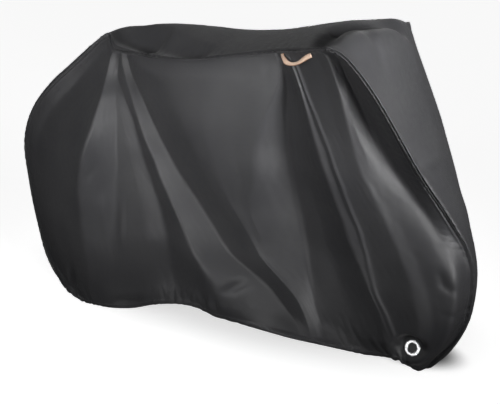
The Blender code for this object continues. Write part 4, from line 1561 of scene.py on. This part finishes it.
class Painter(Wiring):
    """Adds nodes to one material."""

    def __init__(self, name: str) -> None:
        """Make the material.

        Args:
            name: its name.
        """
        self.made = bpy.data.materials.new(name)
        self.made.use_nodes = True
        super().__init__(self.made.node_tree)
        self.shader = self.tree.nodes["Principled BSDF"]
        self.coords = self.node("ShaderNodeTexCoord").outputs

    def surface(self, inputs: dict) -> None:
        """Set inputs of the material's shader."""
        for label, value in inputs.items():
            self.feed(self.shader.inputs[label], value)

    def weave(self, tree: bpy.types.NodeTree, threads: float) -> bpy.types.NodeSocket:
        """Height of the weave, with so many threads to a metre."""
        return self.node("ShaderNodeGroup", {"Cloth": self.coords["UV"], "Threads": threads},
                         node_tree=tree).outputs["Height"]

    def wear(self, tree: bpy.types.NodeTree, patch_scale: float,
             crackle_scale: float) -> tuple[bpy.types.NodeSocket, bpy.types.NodeSocket]:
        """Masks for an uneven surface.

        Args:
            tree: the shared group.
            patch_scale: how close the broad patches lie.
            crackle_scale: how close the fine crackle lies.

        Returns:
            The patches and the crackle.
        """
        made = self.node("ShaderNodeGroup", {
            "Place": self.coords["Object"], "Patch Scale": patch_scale, "Crackle Scale": crackle_scale},
            node_tree=tree)
        return made.outputs["Patches"], made.outputs["Crackle"]

    def bump(self, height: bpy.types.NodeSocket, distance: float, strength: float,
             before: Optional[bpy.types.NodeSocket] = None) -> bpy.types.NodeSocket:
        """A normal raised by a height.

        Args:
            height: the height, from 0 to 1.
            distance: metres that a height of 1 stands for.
            strength: share of the full effect.
            before: a normal to start from.

        Returns:
            The normal.
        """
        made = self.node("ShaderNodeBump", {"Distance": distance, "Strength": strength, "Height": height})
        if before is not None:
            self.feed(made.inputs["Normal"], before)
        return made.outputs["Normal"]


@dataclass(frozen=True)
class Finish:
    """The node groups that every finish shares."""

    weave: bpy.types.NodeTree
    wear: bpy.types.NodeTree


@dataclass(frozen=True)
class ClothFinish(Finish):
    """Charcoal coated plain weave with a satin sheen."""

    deep: Colour = (0.030, 0.030, 0.0328)
    pale: Colour = (0.040, 0.040, 0.0422)
    roughness: tuple[float, float] = (0.41, 0.53)
    sheen: float = 0.10
    threads: float = 1100.0

    def build(self) -> bpy.types.Material:
        """The material of the cloth.

        Returns:
            The material.
        """
        paint = Painter("coated_cloth")
        patches, crackle = paint.wear(self.wear, patch_scale=7.0, crackle_scale=55.0)
        fine = paint.bump(paint.weave(self.weave, self.threads), distance=0.00012, strength=0.5)
        paint.surface({
            "Base Color": paint.mix(paint.ramp(patches, *NOISE), self.deep, self.pale),
            "Roughness": paint.ramp(crackle, *NOISE, *self.roughness),
            "Normal": paint.bump(crackle, distance=0.0012, strength=0.35, before=fine),
            "Sheen Weight": self.sheen, "Sheen Roughness": 0.45, "Specular IOR Level": 0.42})
        return paint.made


@dataclass(frozen=True)
class ThreadFinish(Finish):
    """Dark twisted sewing thread."""

    dark: Colour = (0.060, 0.060, 0.062)
    light: Colour = (0.090, 0.090, 0.093)
    roughness: float = 0.6

    def build(self) -> bpy.types.Material:
        """The material of the stitches.

        Returns:
            The material.
        """
        paint = Painter("sewing_thread")
        _, crackle = paint.wear(self.wear, patch_scale=30.0, crackle_scale=900.0)
        paint.surface({"Base Color": paint.mix(crackle, self.dark, self.light), "Roughness": self.roughness})
        return paint.made


@dataclass(frozen=True)
class MetalFinish(Finish):
    """Bright pressed metal, faintly brushed and a little worn."""

    bright: Colour = (0.90, 0.90, 0.91)
    dull: Colour = (0.70, 0.70, 0.72)
    dull_from: float = 0.45        # the patches' values between which the metal goes dull
    dull_to: float = 0.75
    roughness: tuple[float, float] = (0.19, 0.36)

    def build(self) -> bpy.types.Material:
        """The material of the eyelets.

        Returns:
            The material.
        """
        paint = Painter("eyelet_metal")
        patches, crackle = paint.wear(self.wear, patch_scale=60.0, crackle_scale=420.0)
        worn = paint.ramp(patches, self.dull_from, self.dull_to)
        paint.surface({
            "Base Color": paint.mix(worn, self.bright, self.dull),
            "Roughness": paint.ramp(crackle, *NOISE, *self.roughness),
            "Normal": paint.bump(crackle, distance=0.0002, strength=0.25), "Metallic": 1.0})
        return paint.made


@dataclass(frozen=True)
class WebbingFinish(Finish):
    """Peach webbing with ribs across it, with a painted highlight: pale down its middle, browner towards its
    two edges.
    """

    pale: Colour = (0.84, 0.62, 0.47)
    edge: Colour = (0.34, 0.15, 0.07)
    grime: Colour = (0.70, 0.62, 0.56)
    half_width: float = 0.00625
    highlight_share: float = 0.62       # share of the half width that the painted highlight keeps pale right through
    most_grime: float = 0.35
    rib: float = 0.0011

    def build(self) -> bpy.types.Material:
        """The material of the loop.

        Returns:
            The material.
        """
        paint = Painter("peach_webbing")
        patches, crackle = paint.wear(self.wear, patch_scale=120.0, crackle_scale=900.0)
        split = paint.node("ShaderNodeSeparateXYZ", {0: paint.coords["UV"]})
        away = paint.node("ShaderNodeMath", {0: split.outputs["X"]}, operation="ABSOLUTE")
        # painted highlight: pale down the middle of the strap, browner towards its two edges
        rim = paint.ramp(away.outputs[0], self.half_width * self.highlight_share, self.half_width)
        webbing_with_highlight = paint.mix(rim, self.pale, self.edge)
        grimy = paint.ramp(patches, *NOISE, at_high=self.most_grime)
        fine = paint.bump(paint.weave(self.weave, 1.0 / self.rib), distance=0.0004, strength=0.8)
        paint.surface({
            "Base Color": paint.mix(grimy, webbing_with_highlight, self.grime, "MULTIPLY"),
            "Normal": paint.bump(crackle, distance=0.0002, strength=0.4, before=fine),
            "Roughness": 0.78, "Sheen Weight": 0.2})
        return paint.made


# ---- studio ----

class Softbox(NamedTuple):
    """A square soft light: where it stands, what it faces, its side, power in watts and spread in degrees."""

    name: str
    stands: tuple[float, float, float]
    faces: tuple[float, float, float]
    side: float
    power: float
    spread: float


class Shade(NamedTuple):
    """A soft oval on the floor with less glow: its middle, its half sizes and the share of glow left."""

    middle: tuple[float, float]
    half: tuple[float, float]
    glow: float


@dataclass(frozen=True)
class Studio:
    """Pale floor and walls, soft lights from the front, the near side, above and behind, and the camera."""

    camera_at: tuple[float, float, float] = (1.28245, -1.89154, 0.31220)
    azimuth: float = 31.346
    down: float = 21.110
    lens: float = 51.95
    film: float = 36.0
    farthest: float = 200.0
    softboxes: tuple[Softbox, ...] = (
        Softbox("front_softbox", (2.90, -0.80, 0.08), (0.45, -0.20, 0.25), 1.0, 13.6, 46.0),
        Softbox("corner_softbox", (2.65, -1.30, 0.50), (0.45, -0.20, 0.05), 1.0, 4.5, 50.0),
        Softbox("side_softbox", (-0.10, -2.75, 0.15), (0.05, -0.15, 0.14), 1.0, 4.9, 50.0),
        Softbox("low_softbox", (-1.30, -2.60, 0.0), (-0.50, -0.15, -0.45), 1.0, 2.3, 50.0),
        Softbox("back_softbox", (-0.90, 2.75, -0.45), (0.0, 0.15, -0.50), 1.0, 8.0, 50.0),
        Softbox("overhead_softbox", (0.55, -0.80, 2.00), (0.40, -0.15, 0.0), 1.2, 0.6, 60.0),
    )
    shades: tuple[Shade, ...] = (
        Shade((-0.10, 0.30), (0.70, 0.36), 0.62),    # under the hem
        Shade((0.65, 0.22), (0.13, 0.08), 0.04),     # behind the eyelet
    )
    shade_full: float = 0.70       # a shade is at its darkest out to this share of its half sizes
    shade_gone: float = 1.60
    glow: float = 0.92             # the floor's own light, which reaches the camera alone
    wall: float = 0.93
    sky: float = 0.02              # light from all round, from sky_from up
    sky_from: float = 0.1
    ground: float = 0.01           # and from below, up to ground_to
    ground_to: float = -0.5
    floor_half: float = 45.0

    def floor_finish(self) -> bpy.types.Material:
        """The material of the floor.

        Returns:
            A pale, dull material that glows evenly but for its shades.
        """
        paint = Painter("pale_floor")
        glow = self.glow
        for shade in self.shades:
            place = paint.node("ShaderNodeVectorMath", {
                0: paint.coords["Object"], 1: (1.0 / shade.half[0], 1.0 / shade.half[1], 0.0),
                2: (-shade.middle[0] / shade.half[0], -shade.middle[1] / shade.half[1], 0.0)},
                operation="MULTIPLY_ADD")
            away = paint.node("ShaderNodeVectorMath", {0: place.outputs["Vector"]}, operation="LENGTH")
            left = paint.ramp(away.outputs["Value"], self.shade_full, self.shade_gone, shade.glow, 1.0,
                              "SMOOTHSTEP")
            glow = paint.node("ShaderNodeMath", {0: left, 1: glow}, operation="MULTIPLY").outputs[0]
        paint.surface({"Base Color": glow, "Emission Strength": glow, "Emission Color": (1.0, 1.0, 1.0),
                       "Roughness": 0.95, "Specular IOR Level": 0.0})
        return paint.made

    def floor(self) -> None:
        """A plain pale floor at ground height."""
        mesh = bpy.data.meshes.new("floor")
        half = self.floor_half
        corners = ((-half, -half), (half, -half), (half, half), (-half, half))
        mesh.from_pydata([(x, y, -HOLD_HEIGHT) for x, y in corners], [], [(0, 1, 2, 3)])
        mesh.materials.append(self.floor_finish())
        made = put_in_scene("floor", mesh)
        made.visible_diffuse = False
        made.visible_glossy = False

    def world(self) -> None:
        """Faint even light from all round, fainter from below; to the camera it is a pale wall."""
        world = bpy.data.worlds.new("studio")
        bpy.context.scene.world = world
        world.use_nodes = True
        wires = Wiring(world.node_tree)
        coords = wires.node("ShaderNodeTexCoord")
        split = wires.node("ShaderNodeSeparateXYZ", {0: coords.outputs["Generated"]})
        light = wires.ramp(split.outputs["Z"], self.ground_to, self.sky_from, self.ground, self.sky)
        ray = wires.node("ShaderNodeLightPath")
        seen = wires.mix(ray.outputs["Is Camera Ray"], light, (self.wall,) * 3)
        wires.feed(world.node_tree.nodes["Background"].inputs["Color"], seen)

    def lights(self) -> None:
        """The softboxes, each with its face to what it lights."""
        for box in self.softboxes:
            lamp = bpy.data.lights.new(box.name, "AREA")
            lamp.shape = "SQUARE"
            lamp.size = box.side
            lamp.energy = box.power
            lamp.spread = radians(box.spread)
            made = put_in_scene(box.name, lamp)
            made.location = box.stands
            made.rotation_mode = "QUATERNION"
            back = Vector(box.stands) - Vector(box.faces)
            made.rotation_quaternion = back.to_track_quat("Z", "Y")

    def camera(self) -> None:
        """The camera at the near side, above the front."""
        lens = bpy.data.cameras.new("camera")
        lens.sensor_fit = "HORIZONTAL"
        lens.sensor_width = self.film
        lens.lens = self.lens
        lens.clip_end = self.farthest
        made = put_in_scene("camera", lens)
        made.location = self.camera_at
        made.rotation_euler = (radians(90.0 - self.down), 0.0, radians(self.azimuth))
        bpy.context.scene.camera = made

    def build(self) -> None:
        """Set the whole studio up."""
        self.floor()
        self.world()
        self.lights()
        self.camera()
        bpy.context.scene.view_settings.view_transform = "Standard"


# ---- the cover ----

@dataclass(frozen=True)
class Cover:
    """The whole cover: panels, stitching, eyelets and loop."""

    near: SidePanel
    far: SidePanel
    centre: CentrePanel
    seam_inset: float = 0.0075
    hem_inset: float = 0.0165
    row: StitchRow = StitchRow()
    tack: StitchRow = StitchRow(pitch=0.0028, length=0.0020, width=0.0006)

    def build(self) -> list[bpy.types.Object]:
        """Returns:
            The pieces.
        """
        groups = (weave_group(), wear_group())
        cloth = ClothFinish(*groups).build()
        thread = ThreadFinish(*groups).build()
        metal = MetalFinish(*groups).build()
        webbing = WebbingFinish(*groups).build()
        centre = ride(self.centre.build(cloth), "cloth", "centre_panel")
        seams = [self.centre.line(side, self.seam_inset) for side in Side]
        rows = ride(self.row.build("stitching_centre", seams, thread), "cloth")
        pieces = [centre, rows]
        for panel in (self.near, self.far):
            side = panel.side.label
            sheet = ride(panel.build(cloth), "cloth", f"side_panel_{side}", f"lock_strip_{side}")
            lines = [panel.line(border, self.hem_inset if border is Border.HEM else self.seam_inset)
                     for border in Border]
            rows = ride(self.row.build(f"stitching_{side}", lines, thread), "cloth")
            ring = ride(LockEyelet(panel.side).build(metal), "eyelet_metal", f"lock_eyelet_{side}")
            pieces += [sheet, rows, ring]
        loop = HangingLoop(self.near)
        strap = ride(loop.build(webbing), "webbing", "hanging_loop")
        tacks = ride(self.tack.build("stitching_loop", loop.tacks(), thread), "webbing")
        return pieces + [strap, tacks]


def main() -> None:
    """Build the cover and its studio."""
    near = SidePanel(Side.NEAR, FRONT_SEAM_NEAR, FOLDS_NEAR, CREASES_NEAR, rows=144, seed=11)
    far = SidePanel(Side.FAR, FRONT_SEAM_FAR, FOLDS_FAR, (), rows=90, seed=311, front_puckered=0.25)
    for piece in Cover(near, far, CentrePanel()).build():
        LOG.info("%s: %d faces", piece.name, len(piece.data.polygons))
    Studio().build()


if __name__ == "__main__":
    main()
